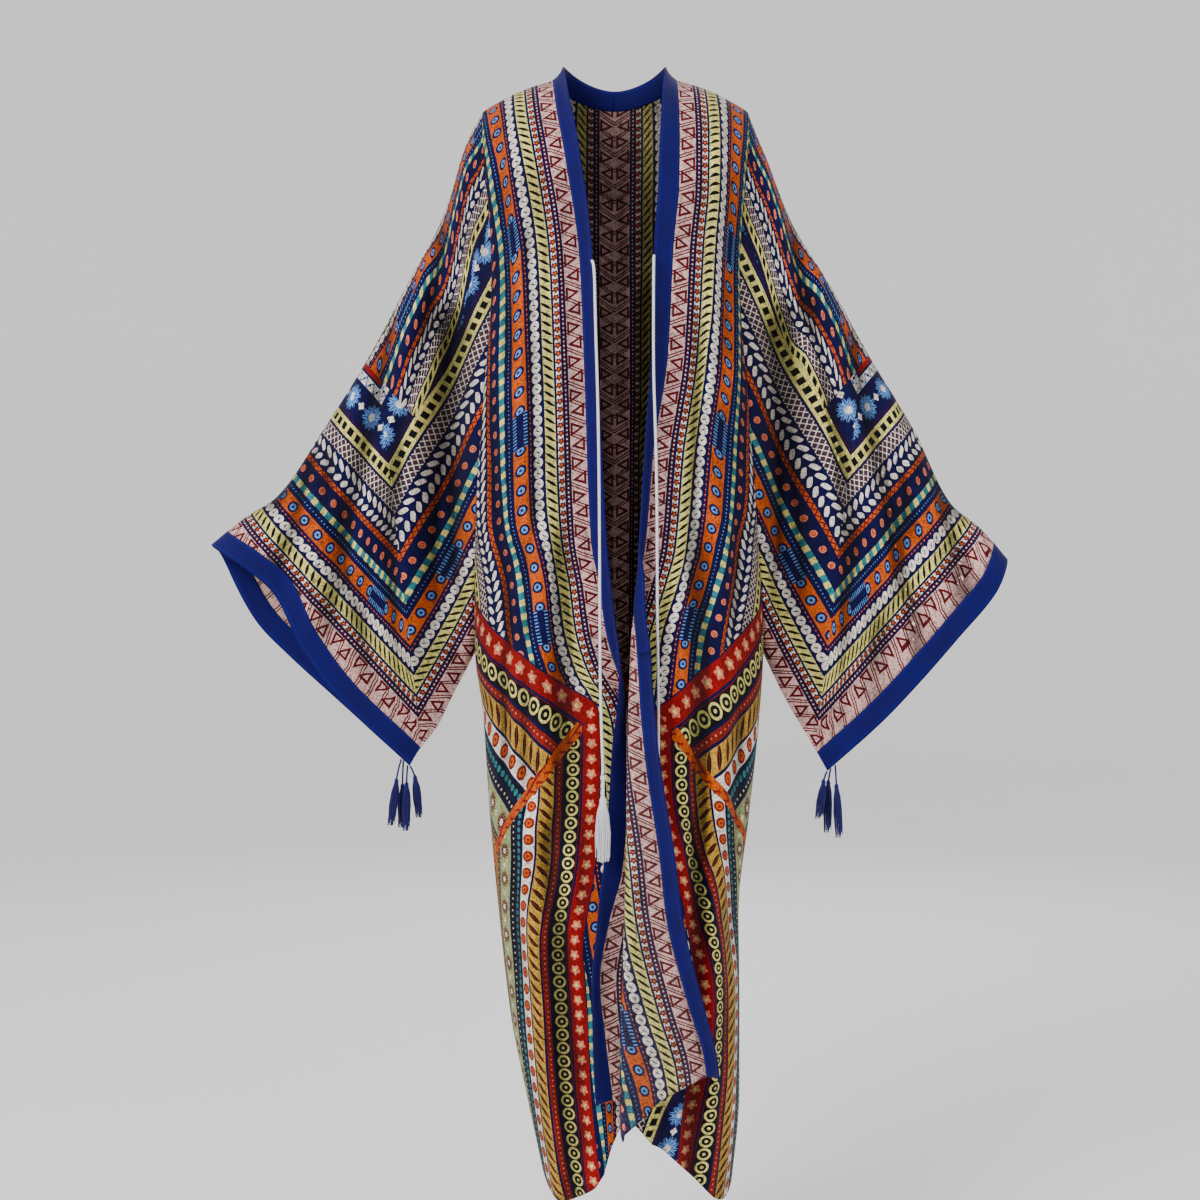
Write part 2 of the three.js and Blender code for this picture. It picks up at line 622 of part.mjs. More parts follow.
// Closed wall of a grid: its outer and inner faces and the rim round them
function wall(cloth, thickness) {
  const { grid, normals } = cloth;
  const [rows, columns] = [grid.length, grid[0].length];
  const positions = [];
  for (const way of [0.5, -0.5]) {
    grid.forEach((line, row) => {
      line.forEach((point, column) => {
        positions.push(...point.clone().addScaledVector(normals[row][column], way * thickness).toArray());
      });
    });
  }
  const index = [];
  const outer = (row, column) => row * columns + column;
  const inner = (row, column) => rows * columns + outer(row, column);
  const quad = (a, b, c, d) => index.push(a, b, c, a, c, d);
  for (let row = 0; row < rows - 1; row += 1) {
    for (let column = 0; column < columns - 1; column += 1) {
      quad(outer(row, column), outer(row + 1, column), outer(row + 1, column + 1), outer(row, column + 1));
      quad(inner(row, column), inner(row, column + 1), inner(row + 1, column + 1), inner(row + 1, column));
    }
  }
  const rim = [];
  for (let column = 0; column < columns; column += 1) rim.push([0, column]);
  for (let row = 1; row < rows; row += 1) rim.push([row, columns - 1]);
  for (let column = columns - 2; column >= 0; column -= 1) rim.push([rows - 1, column]);
  for (let row = rows - 2; row > 0; row -= 1) rim.push([row, 0]);
  rim.forEach((here, step) => {
    const next = rim[(step + 1) % rim.length];
    quad(outer(...here), outer(...next), inner(...next), inner(...here));
  });
  return closedGeometry(positions, index);
}

// A geometry from plain lists, with its faces turned outwards
function closedGeometry(positions, index) {
  let volume = 0;
  const corner = (at) => new THREE.Vector3().fromArray(positions, 3 * at);
  for (let face = 0; face < index.length; face += 3) {
    const [a, b, c] = [0, 1, 2].map((step) => corner(index[face + step]));
    volume += a.dot(b.cross(c));
  }
  const faces = [];
  for (let face = 0; face < index.length; face += 3) {
    const [a, b, c] = index.slice(face, face + 3);
    faces.push(...(volume < 0 ? [a, c, b] : [a, b, c]));
  }
  const geometry = new THREE.BufferGeometry();
  geometry.setAttribute('position', new THREE.Float32BufferAttribute(positions, 3));
  geometry.setIndex(faces);
  return geometry;
}

// The front band: sewn to a front's edge, it goes over the shoulder and on behind the neck to the centre
function frontBandGrid(side, front, back) {
  const neck = [];
  for (let step = NECK_STEP - 1; step >= 0; step -= 1) {
    const column = BACK_HALF + side.sign * step;
    neck.push({ point: back.grid[0][column], normal: back.normals[0][column], lift: NECK_LIFT });
  }
  const seam = [];
  for (let row = LAST_ROW; row >= 0; row -= 1) {
    const point = front.grid[row][FRONT_COLUMNS];
    const turn = read(side.lapel, 'z', 'turn', point.z);
    const lift = read(side.lapel, 'z', 'lift', point.z) - turn;
    seam.push({ point, normal: front.normals[row][FRONT_COLUMNS], lift });
  }
  seam.push(...neck);
  const rows = [];
  seam.forEach(({ point, normal, lift }, index) => {
    const before = seam[Math.max(0, index - 1)].point;
    const after = seam[Math.min(seam.length - 1, index + 1)].point;
    const along = after.clone().sub(before).normalize();
    if (index === seam.length - 1) {
      along.set(-side.sign, 0, 0);
      normal.x = 0;
    }
    const outward = normal.clone().cross(along).normalize().multiplyScalar(side.sign);
    const line = [point.clone()];
    for (const share of BAND_BENDS) {
      const bent = radians(lift * share);
      const step = outward.clone().multiplyScalar(Math.cos(bent)).addScaledVector(normal, Math.sin(bent));
      line.push(line[line.length - 1].clone().addScaledVector(step, BAND_WIDTH / 2));
    }
    rows.push(line);
  });
  return rows;
}

// Cloth pieces
for (const side of SIDES) {
  side.topLine = lineThrough(side.sleeveTop);
  side.underLine = lineThrough(side.underarm);
}
const faceFront = (normals, grid) => normals[Math.floor(grid.length / 2)][2].y < 0;
const faceBack = (normals, grid) => normals[Math.floor(grid.length / 2)][2].y > 0;
const cloth = { back: piece(backGrid(), faceBack) };
for (const side of SIDES) {
  const { name } = side;
  cloth[`front_${name}`] = piece(frontGrid(side), faceFront);
  cloth[`sleeve_front_${name}`] = piece(sleeveGrid(side, 'front'), faceFront);
  cloth[`sleeve_back_${name}`] = piece(sleeveGrid(side, 'back'), faceBack);
  cloth[`cuff_band_${name}`] = piece(cuffBandGrid(side), (normals) => normals[0][0].y < 0);
}

// Seams: shared normals first, then the bands, which leave the panels' edges, then the gaps
const seamPairs = [];
for (const side of SIDES) {
  const front = cloth[`front_${side.name}`];
  const sleeveFront = cloth[`sleeve_front_${side.name}`];
  const sleeveBack = cloth[`sleeve_back_${side.name}`];
  const backEdge = columnOf(cloth.back.normals, side.sign < 0 ? 0 : 2 * BACK_HALF);
  const armhole = (lines) => columnOf(lines, 0).slice(0, CROTCH_ROW);
  matchSeam(armhole(front.normals), armhole(sleeveFront.normals));
  matchSeam(backEdge.slice(0, CROTCH_ROW), armhole(sleeveBack.normals));
  matchSeam(columnOf(front.normals, 0).slice(CROTCH_ROW), backEdge.slice(CROTCH_ROW));
  matchSeam(sleeveFront.normals[0], sleeveBack.normals[0]);
  front.normals[0].forEach((normal) => normal.set(normal.x * RIDGE_LEAN, 0, 1).normalize());
  sleeveFront.normals[0][0].copy(front.normals[0][0]);
  sleeveBack.normals[0][0].copy(front.normals[0][0]);
  seamPairs.push({ side, front, sleeveFront, sleeveBack });
}
cloth.back.normals[0].forEach((normal, column) => {
  if (Math.abs(column - BACK_HALF) >= NECK_STEP) normal.set(normal.x * RIDGE_LEAN, 0, 1).normalize();
});
for (const { side, front } of seamPairs) {
  const grid = frontBandGrid(side, front, cloth.back);
  const band = piece(grid, () => true);
  const facing = band.normals[LAST_ROW][0].dot(front.normals[0][FRONT_COLUMNS]);
  if (facing < 0) band.normals.forEach((line) => line.forEach((normal) => normal.negate()));
  cloth[`band_${side.name}`] = band;
  const frontSeam = columnOf(band.normals, 0).slice(0, LAST_ROW + 1);
  matchSeam(columnOf(front.normals, FRONT_COLUMNS).reverse(), frontSeam);
}
matchSeam(cloth.band_right.normals.at(-1), cloth.band_left.normals.at(-1));
for (const { side, sleeveFront, sleeveBack } of seamPairs) {
  const cuff = columnOf(cloth[`cuff_band_${side.name}`].normals, 0);
  matchSeam(columnOf(sleeveFront.normals, SLEEVE_STEPS).reverse().slice(1), cuff.slice(1, CROTCH_ROW + 1));
  matchSeam(columnOf(sleeveBack.normals, SLEEVE_STEPS).slice(1, CROTCH_ROW), cuff.slice(CROTCH_ROW + 1, -1));
}

const usual = () => SEAM_PULL;
const pullColumn = (grid, column, inner, distance = usual) => {
  pullBack(columnOf(grid, column), columnOf(grid, inner), distance);
};
const pullRow = (grid, row, inner, distance = usual) => pullBack(grid[row], grid[inner], distance);
pullRow(cloth.back.grid, 0, 1);
pullColumn(cloth.back.grid, 0, 1);
pullColumn(cloth.back.grid, 2 * BACK_HALF, 2 * BACK_HALF - 1);
for (const { side, front, sleeveFront, sleeveBack } of seamPairs) {
  const nearCrotch = (index) => SEAM_PULL + CROTCH_PULL * clamp(index - CROTCH_ROW + 2, 0, 2) * 0.5;
  pullRow(front.grid, 0, 1);
  pullColumn(front.grid, 0, 1);
  pullColumn(front.grid, FRONT_COLUMNS, FRONT_COLUMNS - 1);
  for (const sleeve of [sleeveFront, sleeveBack]) {
    pullRow(sleeve.grid, 0, 1);
    pullColumn(sleeve.grid, 0, 1, nearCrotch);
    pullColumn(sleeve.grid, SLEEVE_STEPS, SLEEVE_STEPS - 1);
  }
  pullColumn(cloth[`cuff_band_${side.name}`].grid, 0, 1);
  const band = cloth[`band_${side.name}`].grid;
  pullColumn(band, 0, 1);
  pullRow(band, band.length - 1, band.length - 2);
}

// White ties: each hangs free from its band's edge to a knot, a head and a tassel
const TIE_RADIUS = 1.65;
const TIE_SIDES = 8;
const TIE_STEPS = 38;
const TIES = [
  {
    name: 'right',
    route: [
      [-27, -132.6, -226],
      [-26, -136.4, -228],
      [-25, -139.3, -234],
      [-24.2, -141, -245],
      [-23.6, -141.6, -270],
      [-22.6, -142, -310],
      [-20.9, -142.5, -366],
      [-19.6, -143.4, -430],
      [-18.8, -144.6, -500],
      [-18.4, -146, -560],
      [-18.2, -148, -620],
      [-17.8, -150.4, -680],
      [-16.8, -153, -730],
      [-15.6, -155, -768],
      [-14.6, -156, -796],
    ],
    spreadX: 9,
    spreadY: 7,
  },
  {
    name: 'left',
    route: [
      [42.5, -125.2, -219],
      [42.1, -128.8, -221],
      [42, -131.6, -227],
      [41.8, -133.2, -238],
      [41.6, -134, -262],
      [41.5, -134.6, -310],
      [41.8, -135, -350],
      [43.2, -135.2, -400],
      [44.6, -135.4, -450],
      [45.4, -135.6, -510],
      [45.6, -136, -570],
      [45.8, -137.6, -630],
      [46.6, -140.6, -690],
      [46.8, -143.6, -750],
      [46.4, -145.6, -796],
    ],
    spreadX: 7.5,
    spreadY: 5.2,
  },
];
const TIE_KNOT = { radius: 3.3, below: 3.8 };
const TIE_TASSEL = { neck: 26, head: 4.2, length: 66, strands: 18, strandWidth: 0.95 };
const HEAD_SIDES = 7;
const STRAND = { taper: 0.22, tight: 0.62, fullest: 0.55, end: 0.92, uneven: 0.06 };

// Blue tassels, each on a short stem from the hanging corner of a sleeve; x is out from the centre
const SLEEVE_TASSELS = {
  right: [
    { top: [249.4, -36.4, -789.3], head: [255, -39, -815], end: [261, -41, -866] },
    { top: [247.4, -33.4, -791.3], head: [249, -28, -822], end: [250, -27, -870] },
    { top: [242.2, -36.4, -796.4], head: [243, -41, -819], end: [243, -43, -872] },
    { top: [239.6, -33.4, -797.5], head: [234, -31, -812], end: [229, -30, -858] },
  ],
  left: [
    { top: [256, -36.4, -796.1], head: [257, -40, -821], end: [260, -42, -880] },
    { top: [251.2, -33.4, -800.6], head: [249, -28, -818], end: [248, -27, -876] },
    { top: [246.6, -36.4, -803.5], head: [242, -40, -816], end: [236, -42, -858] },
  ],
};
const STEM = { radius: 1.05, steps: 3, bow: 0.3 };
const SLEEVE_TASSEL = { head: 2.7, spread: 5.4, strands: 7, strandWidth: 0.9 };

function toSolid(geometry) {
  const plain = geometry.clone();
  plain.deleteAttribute('normal');
  plain.deleteAttribute('uv');
  const merged = mergeVertices(plain, 1e-4);
  const vertProperties = new Float32Array(merged.attributes.position.array);
  return new wasm.Manifold(
    new wasm.Mesh({ numProp: 3, vertProperties, triVerts: new Uint32Array(merged.index.array) }),
  );
}

function toGeometry(solid) {
  const mesh = solid.getMesh();
  return closedGeometry(Array.from(mesh.vertProperties), Array.from(mesh.triVerts));
}

const vector = (list) => new THREE.Vector3(...list);

// Round cord along a route
function cordGeometry(route, radius, steps) {
  const section = new THREE.Shape();
  for (let corner = 0; corner < TIE_SIDES; corner += 1) {
    const angle = (2 * Math.PI * corner) / TIE_SIDES;
    section[corner ? 'lineTo' : 'moveTo'](radius * Math.cos(angle), radius * Math.sin(angle));
  }
  section.closePath();
  const extrudePath = new THREE.CatmullRomCurve3(route.map(vector), false, 'centripetal');
  return new THREE.ExtrudeGeometry(section, { steps, bevelEnabled: false, extrudePath });
}

// Drop-shaped tassel head round a point, pointed at the top
function headGeometry(centre, radius, height) {
  const profile = [[0, 1], [0.45, 0.82], [0.95, 0.3], [1, -0.25], [0.7, -0.85], [0, -1]];
  const points = profile.reverse().map(([out, up]) => new THREE.Vector2(out * radius, up * height));
  return new THREE.LatheGeometry(points, HEAD_SIDES).rotateX(Math.PI / 2).translate(...centre.toArray());
}

// One tapering strand with three sides through three stations
function strandGeometry(stations, width) {
  const positions = [];
  stations.forEach((station, index) => {
    const half = width * (1 - STRAND.taper * index);
    for (let corner = 0; corner < 3; corner += 1) {
      const angle = (2 * Math.PI * corner) / 3;
      positions.push(station.x + half * Math.cos(angle), station.y + half * Math.sin(angle), station.z);
    }
  });
  const index = [0, 2, 1];
  for (let ring = 0; ring < stations.length - 1; ring += 1) {
    for (let corner = 0; corner < 3; corner += 1) {
      const [a, b] = [3 * ring + corner, 3 * ring + ((corner + 1) % 3)];
      index.push(a, b, b + 3, a, b + 3, a + 3);
    }
  }
  const end = 3 * (stations.length - 1);
  index.push(end, end + 1, end + 2);
  return closedGeometry(positions, index);
}

// A tassel's strands, spread evenly over a disc, narrow at the head and fullest below the middle
function strandSolids(head, end, spread, strands, width, headRadius) {
  const solids = [];
  for (let strand = 0; strand < strands; strand += 1) {
    const turn = strand * Math.PI * (3 - Math.sqrt(5));
    const out = Math.sqrt((strand + 0.5) / strands);
    const at = (share, size) => {
      const centre = head.clone().lerp(end, share);
      centre.x += size * out * spread[0] * Math.cos(turn);
      centre.y += size * out * spread[1] * Math.sin(turn);
      return centre;
    };
    const tight = (STRAND.tight * headRadius) / Math.max(...spread);
    const uneven = 1 - STRAND.uneven * ((strand * 5) % 4);
    const stations = [at(0, tight), at(STRAND.fullest, 1), at(uneven, STRAND.end)];
    solids.push(toSolid(strandGeometry(stations, width)));
  }
  return solids;
}

const ROUGHNESS = 0.85;
const garment = new THREE.Group();
function add(name, geometry, colour) {
  const material = new THREE.MeshStandardMaterial({ color: colour, roughness: ROUGHNESS, metalness: 0 });
  const mesh = new THREE.Mesh(geometry, material);
  mesh.name = name;
  garment.add(mesh);
}

const PRINT_COLOUR = 0x4a2f52;
const COBALT = 0x161691;
const TIE_WHITE = 0xe4e4ea;
for (const [name, panel] of Object.entries(cloth)) {
  const isBand = name.includes('band');
  add(name, wall(panel, isBand ? BINDING : CLOTH), isBand ? COBALT : PRINT_COLOUR);
}

for (const tie of TIES) {
  add(`tie_${tie.name}`, cordGeometry(tie.route, TIE_RADIUS, TIE_STEPS), TIE_WHITE);
  const knot = vector(tie.route.at(-1));
  knot.z -= TIE_KNOT.below;
  const head = knot.clone();
  head.z -= TIE_TASSEL.neck;
  const end = head.clone();
  end.z -= TIE_TASSEL.length;
  const neck = [knot, knot.clone().lerp(head, 0.5), head].map((point) => point.toArray());
  const parts = [
    toSolid(headGeometry(knot, TIE_KNOT.radius, TIE_KNOT.radius)),
    toSolid(cordGeometry(neck, TIE_RADIUS, 2)),
    toSolid(headGeometry(head, TIE_TASSEL.head, 1.5 * TIE_TASSEL.head)),
    ...strandSolids(
      head, end, [tie.spreadX, tie.spreadY], TIE_TASSEL.strands, TIE_TASSEL.strandWidth, TIE_TASSEL.head,
    ),
  ];
  add(`tie_tassel_${tie.name}`, toGeometry(wasm.Manifold.union(parts)), TIE_WHITE);
}

for (const side of SIDES) {
  SLEEVE_TASSELS[side.name].forEach((tassel, index) => {
    const place = ([x, y, z]) => new THREE.Vector3(side.sign * x, y, z);
    const [top, head, end] = [tassel.top, tassel.head, tassel.end].map(place);
    const bow = top.clone().lerp(head, 0.5);
    bow.x = mix(bow.x, head.x, STEM.bow);
    const stem = [top, bow, head].map((point) => point.toArray());
    const parts = [
      toSolid(cordGeometry(stem, STEM.radius, STEM.steps)),
      toSolid(headGeometry(head, SLEEVE_TASSEL.head, 1.6 * SLEEVE_TASSEL.head)),
      ...strandSolids(
        head, end, [SLEEVE_TASSEL.spread, SLEEVE_TASSEL.spread],
        SLEEVE_TASSEL.strands, SLEEVE_TASSEL.strandWidth, SLEEVE_TASSEL.head,
      ),
    ];
    add(`sleeve_tassel_${side.name}_${index + 1}`, toGeometry(wasm.Manifold.union(parts)), COBALT);
  });
}

export default garment;
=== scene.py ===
# %% [markdown]
# # A long open kimono jacket, built as a cutter would lay it out
# The garment hangs as it does on a wearer whose arms are held out and down. It is cut from light
# printed crepe: a back, two fronts and two sleeves of two halves each. Plain blue bands finish
# the open edges and the sleeves' ends. Two white cords tie it, and blue tassels weigh the sleeve corners.
# Lengths are worked out in millimetres and turned into metres when a mesh is made.

import bpy
import numpy as np
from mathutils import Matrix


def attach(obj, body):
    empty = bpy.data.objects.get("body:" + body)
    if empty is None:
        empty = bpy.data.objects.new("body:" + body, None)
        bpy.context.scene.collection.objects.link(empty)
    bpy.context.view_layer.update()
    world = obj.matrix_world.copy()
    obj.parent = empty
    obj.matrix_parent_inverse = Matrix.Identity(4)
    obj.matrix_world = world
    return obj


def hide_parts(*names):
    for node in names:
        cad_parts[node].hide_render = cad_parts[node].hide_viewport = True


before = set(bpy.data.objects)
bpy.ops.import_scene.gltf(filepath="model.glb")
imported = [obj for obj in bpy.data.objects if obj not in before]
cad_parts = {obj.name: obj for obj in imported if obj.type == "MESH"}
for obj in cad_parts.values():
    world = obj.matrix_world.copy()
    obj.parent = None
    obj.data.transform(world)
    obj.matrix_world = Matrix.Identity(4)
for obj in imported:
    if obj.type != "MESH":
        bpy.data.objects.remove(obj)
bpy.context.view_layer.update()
MM = 0.001
print("frame holds", len(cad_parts), "solids")

# %% [markdown]
# ## Camera
# The photograph is a level catalogue view, about 1.38 m wide at the garment's middle. A 57 mm lens sees that
# width from 2.2 m away. The camera is made first because cords are measured against its view.

# %% Camera
CAMERA_PLACE, LENS, SENSOR = (-0.018, -2.25, -0.604), 57, 36
camera = bpy.data.objects.new("camera", bpy.data.cameras.new("camera"))
camera.data.lens, camera.data.sensor_width = LENS, SENSOR
camera.location = CAMERA_PLACE
camera.rotation_euler = (np.pi / 2, 0, 0)
bpy.context.scene.collection.objects.link(camera)
bpy.context.scene.camera = camera
print("camera at", CAMERA_PLACE)

# %% [markdown]
# ## Tables and curves
# A garment's shape is known at a few stations, such as the waist or the hem. Each table has a row for a
# station, and `read` draws a smooth curve through the rows that never overshoots them, so a side
# seam doesn't bulge between two measurements.


# %% Tables and curves
def table(columns, *rows):
    """Short table with named columns, one row for each station."""
    return {name: np.array(values, float) for name, *values in zip(columns.split(), *rows)}


def mix(low, high, share):
    """Goes from low to high as share goes from 0 to 1."""
    return low + (high - low) * share


def smooth(value):
    """Eases from 0 to 1: three times the square less twice the cube."""
    value = np.clip(value, 0, 1)
    return value**2 * (3 - 2 * value)


def round_off(value):
    """Quarter circle: 0 at the top of a rounded edge, 1 once past its radius."""
    return np.sqrt(1 - (1 - np.clip(value, 0, 1)) ** 2)


def read(rows, key, column, at):
    """Cubic between two rows, whose slope at a row is the harmonic mean of the slopes beside it."""
    place, value, at = rows[key], rows[column], np.asarray(at, float)
    if place[-1] < place[0]:
        place, at = -place, -at
    slope = np.diff(value) / np.diff(place)
    product, total = slope[:-1] * slope[1:], slope[:-1] + slope[1:]
    between = np.where(product > 0, 2 * product / np.where(product > 0, total, 1), 0)
    tangent = np.concatenate([slope[:1], between, slope[-1:]])
    at = np.clip(at, place[0], place[-1])
    row = np.clip(np.searchsorted(place, at, side="right") - 1, 0, len(place) - 2)
    span = place[row + 1] - place[row]
    share = (at - place[row]) / span
    square, cube = share**2, share**3
    near = (2 * cube - 3 * square + 1) * value[row] + (cube - 2 * square + share) * span * tangent[row]
    far = (3 * square - 2 * cube) * value[row + 1] + (cube - square) * span * tangent[row + 1]
    return near + far


def line_through(points):
    """Curve through a table of x and z, read by its share of length."""
    steps = np.hypot(np.diff(points["x"]), np.diff(points["z"]))
    rows = dict(points, run=np.concatenate([[0], np.cumsum(steps)]))
    length = rows["run"][-1]
    return lambda share: (read(rows, "run", "x", share * length), read(rows, "run", "z", share * length))


# %% [markdown]
# ## The garment's measurements
# The body's depth, the armhole's depth, the outline of each side, the lapels and the hems are the
# ones that the solids are cut to. A lapel's row says where the front edge starts to turn, through how many
# degrees, over how much cloth, and how much lies back flat after it. Then come the band's own angle and how
# far the edge stands ahead.

# %% Measurements
CAP_DROP, CROTCH_DROP, HEM_ZONE_DROP = 120, 664, 970
CAP_STEPS, ARMHOLE_STEPS, SKIRT_STEPS, HEM_STEPS = 4, 12, 6, 5
CROTCH_ROW = CAP_STEPS + ARMHOLE_STEPS
ZONE_ROW = CROTCH_ROW + SKIRT_STEPS
LAST_ROW = ZONE_ROW + HEM_STEPS
SIDE_STEPS, FLAT_STEPS, BEND_STEPS, FLAP_STEPS = 9, 2, 4, 2
EDGE_COLUMN = SIDE_STEPS + FLAT_STEPS
FRONT_COLUMNS = EDGE_COLUMN + BEND_STEPS + FLAP_STEPS
BACK_HALF, NECK_STEP, NECK_HALF_WIDTH, NECK_DEPTH, NECK_BLEND = 10, 5, 74, 60, 200
BACK_FLAT = 2 / BACK_HALF
SLEEVE_STEPS, SLEEVE_BUNCHING = 12, 1.35
SHOULDER_RADIUS, WRIST_RADIUS, ARM_FORWARD, ARM_TAPER, ARMHOLE_REACH = 54, 38, 35, 0.8, 0.3
RIDGE_NECK, RIDGE_NAPE, RIDGE_SLOPE, RIDGE_CURVE, RIDGE_FADE = 7, 16, 0.25, 0.002, 300
SIDE_ROUNDNESS, SIDE_MOST, SIDE_HOLLOW = 0.85, 0.98, np.radians(32)
FLAT_SHARE, LAPEL_REACH, FOLD_END, FOLD_EASE = 0.22, 110, 70, 24
CLOTH, BINDING, BAND_WIDTH, CUFF_BAND_WIDTH, LAYER_HALF_GAP, NECK_LIFT = 0.9, 1.7, 24, 25, 1.15, 34
DEPTH = table(
    "z front back",
    (10, 104, 92),
    (-120, 106, 94),
    (-260, 114, 97),
    (-420, 112, 88),
    (-560, 112, 86),
    (-720, 118, 99),
    (-920, 120, 102),
    (-1100, 118, 100),
    (-1300, 112, 92),
)
ARMHOLE_DEPTH = table(
    "drop depth",
    (0, 62),
    (120, 64),
    (300, 68),
    (450, 63),
    (550, 48),
    (610, 31),
    (650, 11),
    (664, 0),
)
BACK_HEM = table(
    "across z",
    (0, -1176),
    (0.35, -1190),
    (0.7, -1236),
    (1, -1261),
)
SIDES = {
    "right": {
        "sign": -1,
        "outline": table(
            "z x",
            (10, 158),
            (-60, 154),
            (-235, 142),
            (-385, 153),
            (-525, 162),
            (-664, 165),
            (-733, 156),
            (-850, 148),
            (-970, 137),
            (-1090, 123),
            (-1180, 105),
            (-1300, 78),
        ),
        "lapel": table(
            "z start turn bend flap lift ahead",
            (10, 85, 4, 8, 3, 42, 0),
            (-40, 79, 4, 8, 3, 46, 0),
            (-99, 69, 4, 8, 3, 46, 0),
            (-217, 52, 4, 8, 3, 54, 0),
            (-328, 47, 4, 8, 3, 52, 0),
            (-535, 39, 4, 8, 3, 44, 0),
            (-591, 29, 6, 8, 3, 58, 0),
            (-640, 23, 10, 9, 3, 62, 0),
            (-687, 11, 30, 12, 3, 78, 0),
            (-715, -3, 100, 15, 3, 112, 0),
            (-750, -11, 160, 17, 3, 126, 0),
            (-806, -14, 172, 18, 4, 137, 0),
            (-862, -16, 174, 18, 6, 150, 0),
            (-905, -16, 176, 18, 10, 150, 0),
            (-964, -13, 176, 18, 22, 122, 0),
            (-1026, -12, 176, 18, 31, 108, 0),
            (-1100, -10, 176, 18, 22, 126, 0),
            (-1165, -8, 176, 18, 12, 142, 0),
        ),
        "hem": table(
            "across z",
            (0, -1252),
            (0.4, -1289),
            (0.75, -1268),
            (0.92, -1213),
            (1.05, -1183),
            (1.5, -1176),
            (2, -1162),
        ),
        "sleeve_top": table(
            "x z",
            (158, -27),
            (177, -64),
            (202, -146),
            (248, -236),
            (293, -323),
            (343, -405),
            (396, -484),
            (432, -508),
            (470, -540),
        ),
        "underarm": table(
            "x z",
            (165, -664),
            (193, -719),
            (210, -754),
            (230, -780),
            (240, -797),
        ),
        "cuff": table(
            "across front_x front_z back_x back_z",
            (0, 470, -540, 470, -540),
            (0.12, 428, -566, 456, -574),
            (0.3, 394, -596, 424, -630),
            (0.5, 362, -660, 382, -672),
            (0.7, 325, -713, 332, -716),
            (1, 240, -797, 240, -797),
        ),
    },
    "left": {
        "sign": 1,
        "outline": table(
            "z x",
            (10, 158),
            (-60, 154),
            (-235, 142),
            (-385, 153),
            (-525, 164),
            (-664, 174),
            (-733, 170),
            (-850, 158),
            (-970, 145),
            (-1090, 146),
            (-1180, 146),
            (-1300, 135),
        ),
        "lapel": table(
            "z start turn bend flap lift ahead",
            (10, 82, 4, 8, 3, 44, 0),
            (-72, 83, 4, 8, 3, 22, 0),
            (-138, 82, 4, 8, 3, 14, 0),
            (-199, 76, 4, 8, 3, 24, 0),
            (-328, 69, 4, 8, 3, 40, 0),
            (-443, 52, 6, 8, 3, 66, 0),
            (-546, 44, 10, 9, 3, 76, 0),
            (-591, 35, 50, 12, 3, 112, 4),
            (-650, 24, 140, 18, 4, 124, 12),
            (-700, 21, 168, 19, 6, 126, 18),
            (-770, 20, 174, 24, 12, 128, 19),
            (-883, 19, 176, 25, 29, 132, 19),
            (-955, 16, 176, 21, 40, 136, 19),
            (-1047, 12, 176, 18, 67, 132, 19),
            (-1111, 10, 176, 18, 88, 124, 19),
            (-1190, 10, 176, 18, 96, 120, 19),
        ),
        "hem": table(
            "across z",
            (0, -1270),
            (0.3, -1289),
            (0.6, -1255),
            (0.8, -1215),
            (1, -1184),
            (1.35, -1188),
            (1.6, -1205),
            (1.82, -1156),
            (2, -1130),
        ),
        "sleeve_top": table(
            "x z",
            (158, -27),
            (174, -68),
            (210, -160),
            (255, -236),
            (302, -323),
            (350, -405),
            (392, -492),
            (425, -520),
            (455, -556),
        ),
        "underarm": table(
            "x z",
            (174, -664),
            (200, -719),
            (218, -751),
            (238, -786),
            (247, -803),
        ),
        "cuff": table(
            "across front_x front_z back_x back_z",
            (0, 455, -556, 455, -556),
            (0.12, 436, -596, 447, -588),
            (0.3, 394, -648, 402, -642),
            (0.5, 352, -698, 358, -694),
            (0.7, 311, -743, 315, -740),
            (1, 247, -803, 247, -803),
        ),
    },
}
print("sides:", ", ".join(SIDES), "with", len(SIDES["left"]["lapel"]["z"]), "lapel stations on the left")

# %% [markdown]
# ## Folds and creases
# Crepe hangs in soft troughs and ridges, uneven in length, depth and spacing. The large ones are
# in the solids too. The small ones are drawn in here: pulls from the shoulder to the armhole, the
# flutes over the hips, the drag lines of the sleeves towards their heavy corners.
# Columns: side, top x, top z, end x, end z, half width, depth outwards. A negative depth is a trough.

# %% Folds and creases
FRONT_FOLDS = [
    (-1, 191, -300, 216, -742, 22, -34),
    (1, 192, -300, 222, -742, 22, -34),
    (-1, 236, -330, 228, -730, 20, 8),
    (1, 240, -330, 236, -735, 20, 8),
    (-1, 330, -470, 285, -700, 17, -7),
    (1, 338, -480, 296, -700, 17, -6),
    (-1, 86, -560, 84, -820, 15, 12),
    (-1, 62, -560, 60, -830, 14, -8),
    (1, 120, -550, 122, -830, 15, 12),
    (1, 94, -560, 96, -850, 14, -8),
    (-1, 104, -860, 78, -1270, 17, 9),
    (-1, 74, -880, 48, -1270, 15, -9),
    (1, 118, -900, 112, -1290, 17, 9),
    (1, 88, -900, 80, -1290, 15, -9),
    (-1, 118, -120, 106, -500, 20, 6),
    (1, 122, -120, 112, -500, 20, 6),
]
